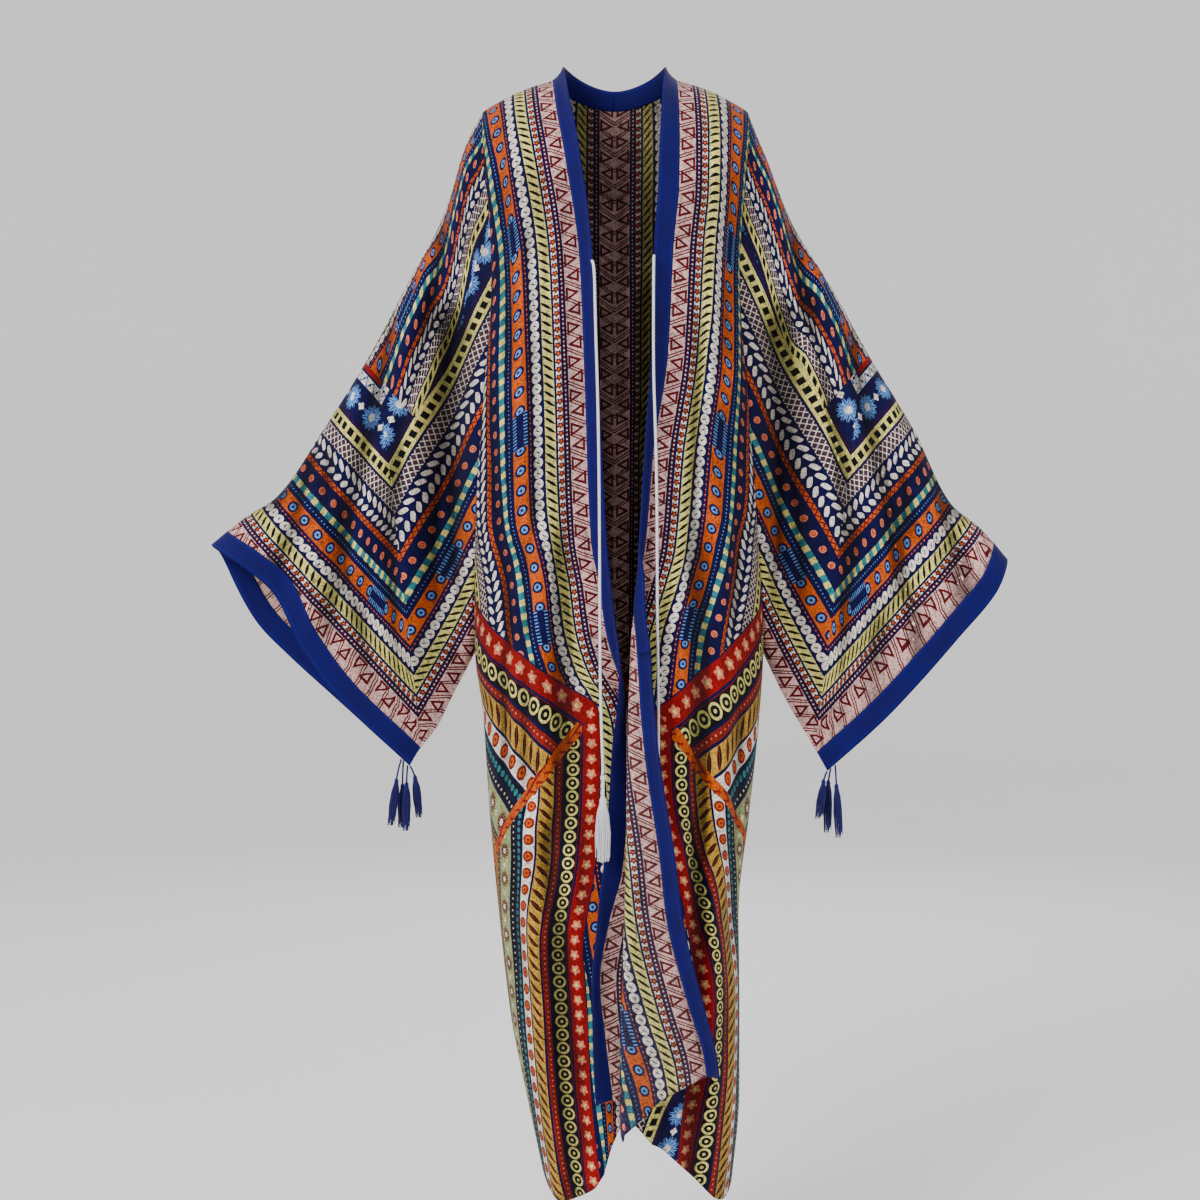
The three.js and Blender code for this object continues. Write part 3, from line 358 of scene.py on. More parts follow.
BACK_FOLDS = [
    (-1, 192, -300, 216, -742, 22, -32),
    (1, 192, -300, 222, -742, 22, -32),
    (-1, 240, -340, 232, -735, 20, 8),
    (1, 240, -330, 236, -735, 20, 8),
    (-1, 336, -480, 296, -700, 17, -7),
    (1, 332, -490, 290, -690, 17, -7),
    (-1, 106, -180, 112, -1270, 19, 12),
    (-1, 66, -240, 74, -1250, 18, -11),
    (-1, 30, -300, 34, -1220, 18, 10),
    (1, 8, -420, 4, -1200, 16, -9),
    (1, 42, -260, 44, -1230, 18, 11),
    (1, 80, -300, 84, -1250, 18, -11),
    (1, 112, -200, 122, -1270, 19, 11),
]
FRONT_CREASES = [
    (-1, 132, -60, 120, -300, 9, -5.8),
    (-1, 146, -150, 128, -430, 7, 4.4),
    (-1, 100, -210, 92, -520, 8, -4.8),
    (-1, 72, -120, 64, -420, 9, 4.1),
    (-1, 140, -470, 118, -640, 8, -6.1),
    (-1, 110, -600, 122, -900, 7, 4.8),
    (-1, 128, -700, 112, -1010, 8, -5.8),
    (-1, 40, -760, 34, -1120, 9, -3.7),
    (-1, 92, -1010, 66, -1240, 7, 5.4),
    (-1, 56, -1000, 36, -1200, 8, -4.4),
    (1, 134, -50, 124, -280, 8, -5.4),
    (1, 112, -90, 100, -390, 9, 4.4),
    (1, 142, -230, 126, -520, 7, 4.1),
    (1, 92, -330, 84, -560, 8, -5.1),
    (1, 138, -560, 120, -700, 8, -6.5),
    (1, 70, -620, 78, -1000, 8, 4.1),
    (1, 140, -760, 128, -1090, 8, -6.1),
    (1, 106, -800, 108, -1180, 7, 4.4),
    (1, 60, -930, 52, -1220, 9, -4.8),
    (1, 134, -1060, 128, -1270, 7, 5.1),
    (-1, 172, -120, 240, -420, 10, 7.1),
    (-1, 200, -200, 262, -520, 9, -7.8),
    (-1, 222, -230, 300, -560, 10, 6.8),
    (-1, 262, -300, 330, -600, 9, -7.5),
    (-1, 300, -370, 352, -600, 8, 5.8),
    (-1, 262, -560, 250, -740, 8, -5.1),
    (-1, 352, -440, 384, -560, 8, -5.8),
    (1, 176, -120, 246, -430, 10, 7.1),
    (1, 206, -190, 276, -540, 9, -8.2),
    (1, 236, -240, 312, -580, 10, 7.1),
    (1, 276, -320, 344, -620, 9, -7.1),
    (1, 318, -380, 372, -590, 8, 6.1),
    (1, 268, -560, 262, -740, 8, -4.8),
    (1, 366, -450, 396, -560, 8, -5.4),
]
BACK_CREASES = [
    (-1, 136, -80, 124, -360, 9, -6.1),
    (-1, 88, -70, 86, -330, 9, 4.8),
    (-1, 48, -90, 52, -420, 8, -4.1),
    (-1, 142, -430, 128, -660, 8, 5.4),
    (-1, 124, -700, 128, -1060, 8, -6.1),
    (-1, 90, -640, 92, -1100, 7, 4.8),
    (-1, 16, -640, 20, -1140, 8, -4.4),
    (-1, 52, -820, 52, -1210, 7, 5.1),
    (1, 134, -70, 126, -340, 9, -5.8),
    (1, 98, -90, 96, -380, 8, 4.4),
    (1, 24, -120, 22, -460, 9, -3.7),
    (1, 146, -420, 130, -640, 8, 5.8),
    (1, 140, -720, 138, -1100, 8, -5.8),
    (1, 100, -560, 102, -1020, 7, 4.8),
    (1, 62, -700, 64, -1160, 8, -4.8),
    (1, 26, -760, 28, -1200, 7, 4.4),
    (-1, 178, -130, 250, -450, 10, 7.5),
    (-1, 214, -220, 290, -560, 9, -7.8),
    (-1, 256, -300, 328, -600, 9, 6.5),
    (-1, 300, -390, 360, -620, 8, -6.1),
    (1, 174, -130, 244, -430, 10, 7.5),
    (1, 216, -210, 288, -560, 9, -7.5),
    (1, 258, -290, 330, -600, 9, 6.8),
    (1, 310, -380, 366, -600, 8, -6.5),
]
FOLDS = {"front": FRONT_FOLDS + FRONT_CREASES, "back": BACK_FOLDS + BACK_CREASES}


def fold_out(face, x, z):
    """Adds up folds: depth times a bell across the fold's line, fading out past its two ends."""
    out = np.zeros(np.broadcast(x, z).shape)
    for sign, top_x, top_z, end_x, end_z, width, depth in FOLDS[face]:
        line_x = sign * mix(top_x, end_x, np.clip((z - top_z) / (end_z - top_z), 0, 1))
        beyond = np.maximum(np.maximum(end_z - z, z - top_z), 0)
        out += depth * np.exp(-(((x - line_x) / width) ** 2)) * (1 - smooth(beyond / FOLD_END))
    return out


print(len(FOLDS["front"]), "folds and creases in front,", len(FOLDS["back"]), "behind")

# %% [markdown]
# ## Sections
# A level section of the body is flat in the middle and rounds off to the side seam like a squared
# ellipse. Over the shoulder the whole section shrinks on a quarter circle, so the cloth rolls over the ridge
# without an edge. The sections could be drawn one by one and lofted, but formulas join without a seam.


# %% Sections
def row_drop(row):
    """Drop below the ridge: a cosine over the shoulder, a sine down the armhole, then even steps."""
    cap = CAP_DROP * (1 - np.cos(np.pi / 2 * np.clip(row / CAP_STEPS, 0, 1)))
    armhole = np.sin(np.pi / 2 * np.clip((row - CAP_STEPS) / ARMHOLE_STEPS, 0, 1))
    skirt = np.maximum(row - CROTCH_ROW, 0) / SKIRT_STEPS
    return cap + (CROTCH_DROP - CAP_DROP) * armhole + (HEM_ZONE_DROP - CROTCH_DROP) * skirt


def height_at(drop, ridge_x):
    """Height of a place under the ridge; the ridge's slope fades out with the drop."""
    out = np.maximum(0, ridge_x - NECK_HALF_WIDTH)
    nape = RIDGE_NAPE * np.maximum(0, 1 - (ridge_x / NECK_HALF_WIDTH) ** 2)
    ridge = RIDGE_NECK + nape - RIDGE_SLOPE * out - RIDGE_CURVE * out**2
    return ridge * np.clip(1 - drop / RIDGE_FADE, 0, 1) ** 2 - drop


def side_round(edge_x, edge, depth, flat_x):
    """Angle at which a section leaves its edge, and the half width it would close at."""
    share = np.clip(edge / np.maximum(depth, 1e-9), 0, SIDE_MOST) ** (1 / SIDE_ROUNDNESS)
    angle = np.where(depth > 0, np.arcsin(share), SIDE_HOLLOW)
    return angle, flat_x + (edge_x - flat_x) / np.cos(angle) ** SIDE_ROUNDNESS


def row_depths(face, drop, z):
    """Depth of the section and of the armhole seam, both rounded off over the shoulder."""
    cap = round_off(drop / CAP_DROP)
    edge = np.where(drop >= CROTCH_DROP, 0, read(ARMHOLE_DEPTH, "drop", "depth", drop) * cap)
    return read(DEPTH, "z", face, z) * cap, edge


def bow(angle):
    """Cosine and sine raised to the section's roundness."""
    across, up = np.maximum(np.cos(angle), 0), np.maximum(np.sin(angle), 0)
    return across**SIDE_ROUNDNESS, up**SIDE_ROUNDNESS


def row_height(row, ridge_x, hem_z):
    """Level rows, which lean over to the hem's line in the last ones."""
    level = height_at(row_drop(np.minimum(row, ZONE_ROW)), ridge_x)
    return np.where(row <= ZONE_ROW, level, mix(-HEM_ZONE_DROP, hem_z, (row - ZONE_ROW) / HEM_STEPS))


print("section at the chest:", [float(v) for v in row_depths("front", 400.0, -400.0)])

# %% [markdown]
# ## Fronts
# A front is one piece from the side seam to the edge that rolls back as a lapel. Columns run from the
# armhole to the band's seam: round the side, over the flat chest, through the roll, and along the flap that
# lies back on the front with its wrong side out.


# %% Fronts
LAPEL_COLUMNS = ("start", "turn", "bend", "flap", "ahead")


def front_point(side, column, drop, z):
    """Point of a front: a squared ellipse to the edge, then an arc of the lapel's turn, then a straight."""
    lapel = {name: read(side["lapel"], "z", name, z) for name in LAPEL_COLUMNS}
    start, turn, sign = lapel["start"], np.radians(lapel["turn"]), side["sign"]
    depth, edge = row_depths("front", drop, z)
    edge_x = read(side["outline"], "z", "x", z)
    flat_x = mix(start, edge_x, FLAT_SHARE)
    angle, half = side_round(edge_x, edge, depth, flat_x)
    ease = np.clip(depth / FOLD_EASE, 0, 1)
    across, up = bow(mix(angle, np.pi / 2, np.clip(column / SIDE_STEPS, 0, 1)))
    flat = mix(flat_x, start, np.clip((column - SIDE_STEPS) / FLAT_STEPS, 0, 1))
    panel_x = np.where(column <= SIDE_STEPS, flat_x + (half - flat_x) * across, flat)
    panel_y = depth * up + lapel["ahead"] * (1 - smooth((panel_x - start) / LAPEL_REACH))
    panel_y += fold_out("front", sign * panel_x, z) * ease * np.clip(panel_y / FOLD_EASE, 0, 1)
    radius = lapel["bend"] / turn
    bent = np.clip((column - EDGE_COLUMN) / BEND_STEPS, 0, 1) * turn
    straight = lapel["flap"] * np.maximum(0, column - EDGE_COLUMN - BEND_STEPS) / FLAP_STEPS
    base = depth + lapel["ahead"] + fold_out("front", sign * start, z) * ease
    roll_x = start - radius * np.sin(bent) - straight * np.cos(bent)
    roll_y = base + radius * (1 - np.cos(bent)) + straight * np.sin(bent)
    on_panel = column <= EDGE_COLUMN
    x, y = np.where(on_panel, panel_x, roll_x), np.where(on_panel, panel_y, roll_y)
    return np.stack([sign * x, -y, z + 0 * x], -1)


def stations(last, fineness, first=0):
    """Even stations between whole rows or columns, fineness of them to a step."""
    return np.linspace(first, last, round(abs(last - first) * fineness) + 1)


def front_grid(side, row_fineness=5, column_fineness=4):
    """Grid of a front, a row down the garment and a column across it."""
    row, column = np.meshgrid(
        stations(LAST_ROW, row_fineness), stations(FRONT_COLUMNS, column_fineness), indexing="ij"
    )
    zero = np.zeros_like(column)
    ridge_x = np.abs(front_point(side, column, zero, zero)[..., 0])
    beyond = 1 + (column - EDGE_COLUMN) / (FRONT_COLUMNS - EDGE_COLUMN)
    across = np.where(column <= EDGE_COLUMN, column / EDGE_COLUMN, beyond)
    z = row_height(row, ridge_x, read(side["hem"], "across", "z", across))
    drop = np.where(row <= ZONE_ROW, row_drop(np.minimum(row, ZONE_ROW)), -z)
    return front_point(side, column, drop, z)


fronts = {name: front_grid(side) for name, side in SIDES.items()}
print("fronts:", {name: grid.shape[:2] for name, grid in fronts.items()})

# %% [markdown]
# ## Back
# The back is a single width from side seam to side seam. Its neckline is an ellipse laid on the rounded
# shoulders, so the columns near the centre start lower, and its flutes fall from the shoulder blades.


# %% Back
def back_half(side, row, out):
    """Half of the back; out is 0 at the centre and 1 at the armhole or side seam."""
    neck = NECK_STEP / BACK_HALF
    on_neck, past_neck = NECK_HALF_WIDTH * out / neck, (out - neck) / (1 - neck)

    def ridge(widest):
        """Distance from the centre: even steps over the neck, then even ones to the widest place."""
        return np.where(out > neck, mix(NECK_HALF_WIDTH, widest, past_neck), on_neck)

    ridge_x = ridge(side["outline"]["x"][0])
    reach = NECK_DEPTH * np.sqrt(np.maximum(0, 1 - (ridge_x / NECK_HALF_WIDTH) ** 2))
    start = CAP_DROP * (1 - np.sqrt(1 - (reach / DEPTH["back"][0]) ** 2))
    level = np.where(row <= ZONE_ROW, row_drop(np.minimum(row, ZONE_ROW)), 0)
    drop = level + start * np.clip(1 - level / NECK_BLEND, 0, 1)
    low = row_height(row, ridge_x, read(BACK_HEM, "across", "z", out))
    z = np.where(row <= ZONE_ROW, height_at(drop, ridge_x), low)
    depth, edge = row_depths("back", np.where(row <= ZONE_ROW, drop, -z), z)
    edge_x = read(side["outline"], "z", "x", z)
    flat_x = FLAT_SHARE * edge_x
    angle, half = side_round(edge_x, edge, depth, flat_x)
    across, _ = bow(mix(np.pi / 2, angle, np.clip((out - BACK_FLAT) / (1 - BACK_FLAT), 0, 1)))
    wide = np.where(out < BACK_FLAT, flat_x * out / BACK_FLAT, flat_x + (half - flat_x) * across)
    x = mix(ridge(edge_x), wide, np.where(row > ZONE_ROW, 1, smooth(level / NECK_BLEND)))
    share = np.clip((x - flat_x) / (half - flat_x), 0, 1)
    y = np.where(out == 1, edge, depth * bow(np.arccos(share ** (1 / SIDE_ROUNDNESS)))[1])
    ease = np.clip(depth / FOLD_EASE, 0, 1) * np.clip(y / FOLD_EASE, 0, 1)
    y += fold_out("back", side["sign"] * x, z) * ease
    return np.stack([side["sign"] * x, y, z], -1)


def back_grid(row_fineness=5, column_fineness=4):
    """Both halves side by side, from the right side seam to the left one."""
    row, out = np.meshgrid(
        stations(LAST_ROW, row_fineness), stations(BACK_HALF, column_fineness) / BACK_HALF, indexing="ij"
    )
    right, left = (back_half(SIDES[name], row, out) for name in ("right", "left"))
    return np.concatenate([right[:, :0:-1], left], 1)


back = back_grid()
print("back:", back.shape[:2])

# %% [markdown]
# ## Sleeves
# A sleeve is a bag held between the armhole, the top of the arm, the slanting end and the underarm seam.
# Each half is a patch between those four edges. The arm fills its top, and below the arm the two halves hang
# together down to the corner.


# %% Sleeves
ARM_BEND, SLEEVE_PARTS = 1.5, 10
for side in SIDES.values():
    side["top_line"] = line_through(side["sleeve_top"])
    side["under_line"] = line_through(side["underarm"])


def sleeve_point(side, face, share, row):
    """Blend of the four edges: sides by share, plus top and bottom, less what the corners add twice."""
    top_x = side["outline"]["x"][0]
    first_z, crotch_z = height_at(0, top_x), height_at(CROTCH_DROP, top_x)
    z_here = height_at(row_drop(row), top_x)
    down = (first_z - z_here) / (first_z - crotch_z)
    armhole = (read(side["outline"], "z", "x", z_here), z_here)
    cuff = [read(side["cuff"], "across", f"{face}_{axis}", down) for axis in "xz"]
    top, under = side["top_line"](share), side["under_line"](share)
    top_ends, under_ends = ([side[line](end) for end in (0, 1)] for line in ("top_line", "under_line"))
    x, z = (
        mix(armhole[axis], cuff[axis], share)
        + mix(top[axis], under[axis], down)
        - mix(
            mix(top_ends[0][axis], top_ends[1][axis], share),
            mix(under_ends[0][axis], under_ends[1][axis], share),
            down,
        )
        for axis in (0, 1)
    )
    length = np.hypot(top[0] - under[0], top[1] - under[1])
    radius = mix(SHOULDER_RADIUS, WRIST_RADIUS, share)
    below = down * length
    beyond = np.clip((below - radius) / (length - radius), 0, 1)
    hung = radius * round_off(below / radius) * (1 - beyond) ** ARM_TAPER
    sewn = row_depths(face, row_drop(row), z_here)[1]
    plain = mix(sewn, hung, smooth(share / ARMHOLE_REACH))
    half = plain + fold_out(face, side["sign"] * x, z) * np.clip(plain / FOLD_EASE, 0, 1) ** 2
    half = np.where(row == 0, 0, np.maximum(half, LAYER_HALF_GAP))
    forward = ARM_FORWARD * share**ARM_BEND
    return np.stack([side["sign"] * x, (-half if face == "front" else half) - forward, z], -1)


def cuff_seam(side, face, row):
    """Share at which the cuff band's seam lies: one less a band's width over the cloth's length there."""
    shares = (1, 1 - 1 / SLEEVE_PARTS)
    end, before = (sleeve_point(side, face, share * np.ones_like(row), row) for share in shares)
    length = SLEEVE_PARTS * np.linalg.norm(end - before, axis=-1)
    return 1 - CUFF_BAND_WIDTH / length


def sleeve_grid(side, face, row_fineness=5, step_fineness=5):
    """Grid of a sleeve half, closer together near the armhole's deep fold."""
    row, step = np.meshgrid(
        stations(CROTCH_ROW, row_fineness), stations(SLEEVE_STEPS, step_fineness), indexing="ij"
    )
    share = cuff_seam(side, face, row) * (step / SLEEVE_STEPS) ** SLEEVE_BUNCHING
    return sleeve_point(side, face, share, row)


def cuff_band_grid(side, fineness=5, across=8):
    """Band from the hanging corner up the front, over the wrist and down the back."""
    up_front, down_back = stations(0, fineness, CROTCH_ROW), stations(CROTCH_ROW, fineness)[1:]
    lines = []
    for face, rows in (("front", up_front), ("back", down_back)):
        row, share = np.meshgrid(rows, np.linspace(0, 1, across), indexing="ij")
        lines.append(sleeve_point(side, face, mix(cuff_seam(side, face, row), 1, share), row))
    return np.concatenate(lines)


sleeves = {}
for name, side in SIDES.items():
    for face in ("front", "back"):
        sleeves[name, face] = sleeve_grid(side, face)
cuff_bands = {name: cuff_band_grid(side) for name, side in SIDES.items()}
print("sleeve halves:", len(sleeves), "cuff bands:", len(cuff_bands))

# %% [markdown]
# ## Bands
# A front band is a strip folded round the raw edge. It leaves the front at the lapel's angle, goes over the
# shoulder, and stands up a little behind the neck, where the two bands meet at the centre back. It could be
# extruded along the edge, but stepping out from the seam keeps its width even where the edge turns.


# %% Bands
CORNER_EASE = 13


def unit(vectors):
    """Each vector divided by its length."""
    return vectors / np.maximum(np.linalg.norm(vectors, axis=-1, keepdims=True), 1e-9)


def normals(grid):
    """Unit normal of a grid: the step down crossed with the step along."""
    return unit(np.cross(np.gradient(grid, axis=0), np.gradient(grid, axis=1)))


def outward(grid, way):
    """Normals turned so that the middle of the piece faces the given way along Y."""
    normal = normals(grid)
    middle = normal[grid.shape[0] // 2, grid.shape[1] // 4, 1]
    return normal * np.sign(middle * way)


def eased(rows):
    """Rows averaged with their neighbours by a raised cosine."""
    weights = np.hanning(CORNER_EASE + 2)[1:-1]
    weights /= weights.sum()
    padded = np.pad(rows, ((CORNER_EASE // 2, CORNER_EASE // 2), (0, 0)), "edge")
    return np.stack([np.convolve(column, weights, "valid") for column in padded.T], -1)


def band_seam(name):
    """From the hem up the front to the centre back: points, normals, lift, and where the neck starts."""
    side, front = SIDES[name], fronts[name]
    fineness = (back.shape[1] - 1) // (2 * BACK_HALF)
    columns = back.shape[1] // 2 + side["sign"] * np.arange(NECK_STEP * fineness - 1, -1, -1)
    seam = np.concatenate([front[::-1, -1], back[0, columns]])
    normal = np.concatenate([outward(front, -1)[::-1, -1], outward(back, 1)[0, columns]])
    normal[-1, 0] = 0
    z = front[::-1, -1, 2]
    lift = read(side["lapel"], "z", "lift", z) - read(side["lapel"], "z", "turn", z)
    lift = np.radians(np.concatenate([lift, np.full(len(columns), NECK_LIFT)]))
    return seam, normal, lift[:, None], len(z)


def band_grid(name, steps=8):
    """Seam points moved out in short steps, each turned further by the band's bend and eased at the neck."""
    seam, normal, lift, neck_start = band_seam(name)
    sign = SIDES[name]["sign"]
    along = np.gradient(seam, axis=0)
    along[-1] = (-sign, 0, 0)
    out = unit(eased(unit(np.cross(normal, along) * sign)))
    normal = unit(normal)
    lines = [seam]
    for share in (np.arange(steps) + 0.5) / steps:
        turned = lift * (0.5 + share)
        lines.append(lines[-1] + (out * np.cos(turned) + normal * np.sin(turned)) * BAND_WIDTH / steps)
    near_corner = np.exp(-(((np.arange(len(seam)) - neck_start) / CORNER_EASE) ** 2))[:, None]
    for index, line in enumerate(lines):
        lines[index] = line + (eased(eased(line)) - line) * near_corner * index / steps
    return np.stack(lines, 1)


bands = {name: band_grid(name) for name in SIDES}
print("bands:", {name: grid.shape[:2] for name, grid in bands.items()})

# %% [markdown]
# ## The print, as tables
# The crepe is printed in bands that run beside the open edge, with a second set that makes a nested frame
# over the hips. Both sets are common ethnic border motifs: triangles, teeth, dots, florets, leaves, beads,
# eyes, combs, braids and rosettes. An image could carry them, but formulas stay sharp at any size. Widths and
# sizes are in millimetres, and `pitch` is the repeat along a band.

# %% Colours and print tables
INK_DEPTH = 2.75
COLOURS = {
    "navy": (20, 12, 78),
    "orange": (196, 98, 26),
    "yellow": (215, 205, 130),
    "cream": (225, 215, 205),
    "maroon": (110, 20, 42),
    "red": (148, 18, 22),
    "rose": (222, 184, 178),
    "salmon": (215, 130, 110),
    "teal": (60, 130, 140),
    "blue": (70, 120, 190),
    "sky": (110, 150, 205),
    "plum": (85, 60, 75),
    "gold": (185, 150, 70),
    "pale": (165, 170, 125),
    "brown": (140, 45, 35),
    "black": (25, 20, 30),
}


def linear(name):
    """Linear colour: a share of the screen's scale, raised a little past 2.2 because ink sinks into crepe."""
    return (*(np.array(COLOURS[name]) / 255) ** INK_DEPTH, 1.0)


# Columns: width, ground, motif, first ink, second ink, pitch, size
EDGE_BANDS = [
    (20, "rose", "triangles", "maroon", "rose", 38, 16),
    (5, "maroon", "dots", "cream", "cream", 5, 0.9),
    (9, "cream", "florets", "maroon", "orange", 9, 4),
    (15, "yellow", "leaves", "black", "black", 10, 2.2),
    (14, "navy", "pearls", "cream", "navy", 12, 5.4),
    (4, "maroon", "dots", "salmon", "salmon", 6, 0.8),
    (20, "orange", "combs", "navy", "sky", 23, 6.5),
    (8, "navy", "dots", "sky", "sky", 5, 0.8),
    (10, "teal", "blocks", "yellow", "yellow", 16, 3.6),
    (19, "navy", "eyes", "salmon", "orange", 21, 4.2),
    (8, "orange", "zigzag", "maroon", "maroon", 9, 1.1),
    (25, "navy", "sprigs", "cream", "navy", 13, 4.6),
    (18, "plum", "braid", "cream", "cream", 9, 0.8),
    (18, "yellow", "blocks", "black", "black", 13, 4),
    (3, "maroon", "plain", "maroon", "maroon", 9, 1),
    (34, "navy", "rosettes", "sky", "cream", 40, 15),
    (13, "cream", "curls", "blue", "black", 13, 1.2),
    (16, "red", "dots", "salmon", "salmon", 8, 1.4),
]
HIP_BANDS = [
    (22, "red", "florets", "salmon", "yellow", 17, 6),
    (21, "black", "beads", "yellow", "black", 15, 7.4),
    (11, "brown", "dots", "salmon", "salmon", 6, 1),
    (20, "gold", "leaves", "black", "brown", 13, 3),
    (17, "cream", "eyes", "brown", "orange", 19, 6.4),
    (13, "black", "dots", "teal", "teal", 8, 3),
    (9, "black", "dots", "cream", "cream", 7, 1.2),
    (28, "pale", "rosettes", "maroon", "cream", 33, 11),
    (5, "black", "teeth", "pale", "black", 9, 4),
    (17, "gold", "braid", "brown", "brown", 10, 1.3),
    (6, "black", "plain", "black", "black", 9, 1),
    (23, "gold", "eyes", "navy", "cream", 27, 8.4),
    (5, "black", "teeth", "gold", "black", 9, 4),
    (30, "cream", "rosettes", "navy", "sky", 36, 12),
]
EDGE_WIDTH = sum(band[0] for band in EDGE_BANDS)
HIP_WIDTH = sum(band[0] for band in HIP_BANDS)
print("edge set", EDGE_WIDTH, "mm wide, hip set", HIP_WIDTH, "mm wide")

# %% [markdown]
# ## Shader formulas
# A material is a tree of nodes, but its formulas read best as formulas. `Value` wraps a socket so that the
# usual operators make Math nodes, and `Shader.node` makes any other node from its type, settings and inputs.


# %% Shader formulas
UV_SCALE = 100.0
SPECULAR = 0.15


class Value:
    """A number or colour that varies over the surface, with Python's operators."""

    def __init__(self, shader, socket):
        self.shader, self.socket = shader, socket

    def math(self, operation, *others):
        """One Math node; its operation is named as Blender names it."""
        inputs = dict(enumerate([self, *others]))
        return self.shader.node("ShaderNodeMath", {"operation": operation}, inputs)

    def __add__(self, other):
        return self.math("ADD", other)

    def __sub__(self, other):
        return self.math("SUBTRACT", other)

    def __rsub__(self, other):
        return self.shader.node("ShaderNodeMath", {"operation": "SUBTRACT"}, {0: other, 1: self})

    def __mul__(self, other):
        return self.math("MULTIPLY", other)

    def __truediv__(self, other):
        return self.math("DIVIDE", other)

    def __lt__(self, other):
        return self.math("LESS_THAN", other)

    def __gt__(self, other):
        return self.math("GREATER_THAN", other)

    __radd__, __rmul__ = __add__, __mul__

    def __abs__(self):
        return self.math("ABSOLUTE")

    def repeat(self, pitch):
        """Distance from the middle of the nearest repeat, from minus to plus half a pitch."""
        return self.math("WRAP", pitch / 2, -pitch / 2)


class Shader:
    """A material and the nodes that it is made of."""

    def __init__(self, name):
        self.material = bpy.data.materials.new(name)
        self.material.use_nodes = True
        self.tree = self.material.node_tree
        self.tree.nodes.clear()

    def node(self, kind, settings=None, inputs=None, output=0):
        """Makes a node of a type, with its settings, and its inputs linked or set."""
        made = self.tree.nodes.new(kind)
        for name, value in (settings or {}).items():
            setattr(made, name, value)
        for key, value in (inputs or {}).items():
            if isinstance(value, Value):
                self.tree.links.new(value.socket, made.inputs[key])
            else:
                made.inputs[key].default_value = value
        return Value(self, made.outputs[output])

    def choose(self, share, low, high):
        """Low colour where share is 0 and high colour where it is 1; a Mix node takes them at 6 and 7."""
        return self.node("ShaderNodeMix", {"data_type": "RGBA"}, {0: share, 6: low, 7: high}, 2)

    def darken(self, colour, shade):
        """Colour times a grey of the given shade."""
        grey = self.node("ShaderNodeCombineColor", None, {0: shade, 1: shade, 2: shade})
        settings = {"data_type": "RGBA", "blend_type": "MULTIPLY"}
        return self.node("ShaderNodeMix", settings, {0: 1.0, 6: colour, 7: grey}, 2)

    def noise(self, scale, detail=2.0, stretch=None):
        """Noise over the garment's own coordinates; scale is in cells a metre."""
        place = self.node("ShaderNodeTexCoord", output="Object")
        if stretch:
            place = self.node("ShaderNodeMapping", None, {0: place, 3: stretch})
        return self.node("ShaderNodeTexNoise", None, {"Vector": place, "Scale": scale, "Detail": detail})

    def uv(self, name):
        """The two parts of a UV map, in millimetres."""
        place = self.node("ShaderNodeUVMap", {"uv_map": name})
        across = self.node("ShaderNodeSeparateXYZ", None, {0: place})
        along = Value(self, across.socket.node.outputs[1])
        return across * UV_SCALE, along * UV_SCALE

    def attribute(self, name):
        """A number that each point of the mesh carries."""
        return self.node("ShaderNodeAttribute", {"attribute_name": name}, output="Fac")

    def finish(self, colour, height, roughness, bump, distance, sheen=0.02):
        """Cloth: a rough surface with a little sheen and a bump."""
        normal = self.node("ShaderNodeBump", None, {"Height": height, "Strength": bump, "Distance": distance})
        inputs = {"Base Color": colour, "Roughness": roughness, "Normal": normal}
        inputs.update({"Sheen Weight": sheen, "Specular IOR Level": SPECULAR})
        surface = self.node("ShaderNodeBsdfPrincipled", None, inputs)
        output = self.tree.nodes.new("ShaderNodeOutputMaterial")
        self.tree.links.new(surface.socket, output.inputs["Surface"])
        return self.material


print("a UV unit is", UV_SCALE, "mm of cloth")

# %% [markdown]
# ## Motifs with round parts
# Each motif is a rule on `p`, the distance from the middle of its band, and `t`, the distance along it, where
# `q` is the distance along from the nearest repeat. It gives masks, and 0 or 1 for the ink that fills each.
# The factors are shares of the motif's size or of its band's width.


# %% Motifs with round parts
def disc(p, q, size):
    """Inside a circle: squares of both distances add up to less than the radius squared."""
    return p * p + q * q < size**2


def rings(p, q, size, *shares):
    """Discs inside each other, each a share of the size, in the two inks by turns."""
    return [(disc(p, q, share * size), at % 2) for at, share in enumerate(shares)]


def petals(p, q, size, count):
    """Inside a flower: the radius swells with the cosine of count times the angle."""
    angle = p.math("ARCTAN2", q)
    return (p * p + q * q).math("SQRT") < (angle * count).math("COSINE") * 0.16 * size + 0.84 * size


def motif_dots(p, t, width, pitch, size):
    """One disc in each repeat."""
    return rings(p, t.repeat(pitch), size, 1)


def motif_eyes(p, t, width, pitch, size):
    """Three discs inside each other."""
    return rings(p, t.repeat(pitch), size, 1, 0.62, 0.24)


def motif_beads(p, t, width, pitch, size):
    """Eyes stretched along the band until they nearly touch."""
    q = t.repeat(pitch) * (2 * size / (0.92 * pitch))
    return rings(p, q, size, 1, 0.66, 0.24)


def motif_pearls(p, t, width, pitch, size):
    """Ovals set close, each with a fine slanted slit, so that the chain's edge is scalloped."""
    q = t.repeat(pitch) * (2 * size / (0.96 * pitch))
    return [(disc(p, q, size), 0), (disc(p * 0.55, (q + p * 0.5) * 1.6, 0.24 * size), 1)]


def motif_florets(p, t, width, pitch, size):
    """Five petals round a disc."""
    q = t.repeat(pitch)
    return [(petals(p, q, size, 5), 0), (disc(p, q, 0.36 * size), 1)]


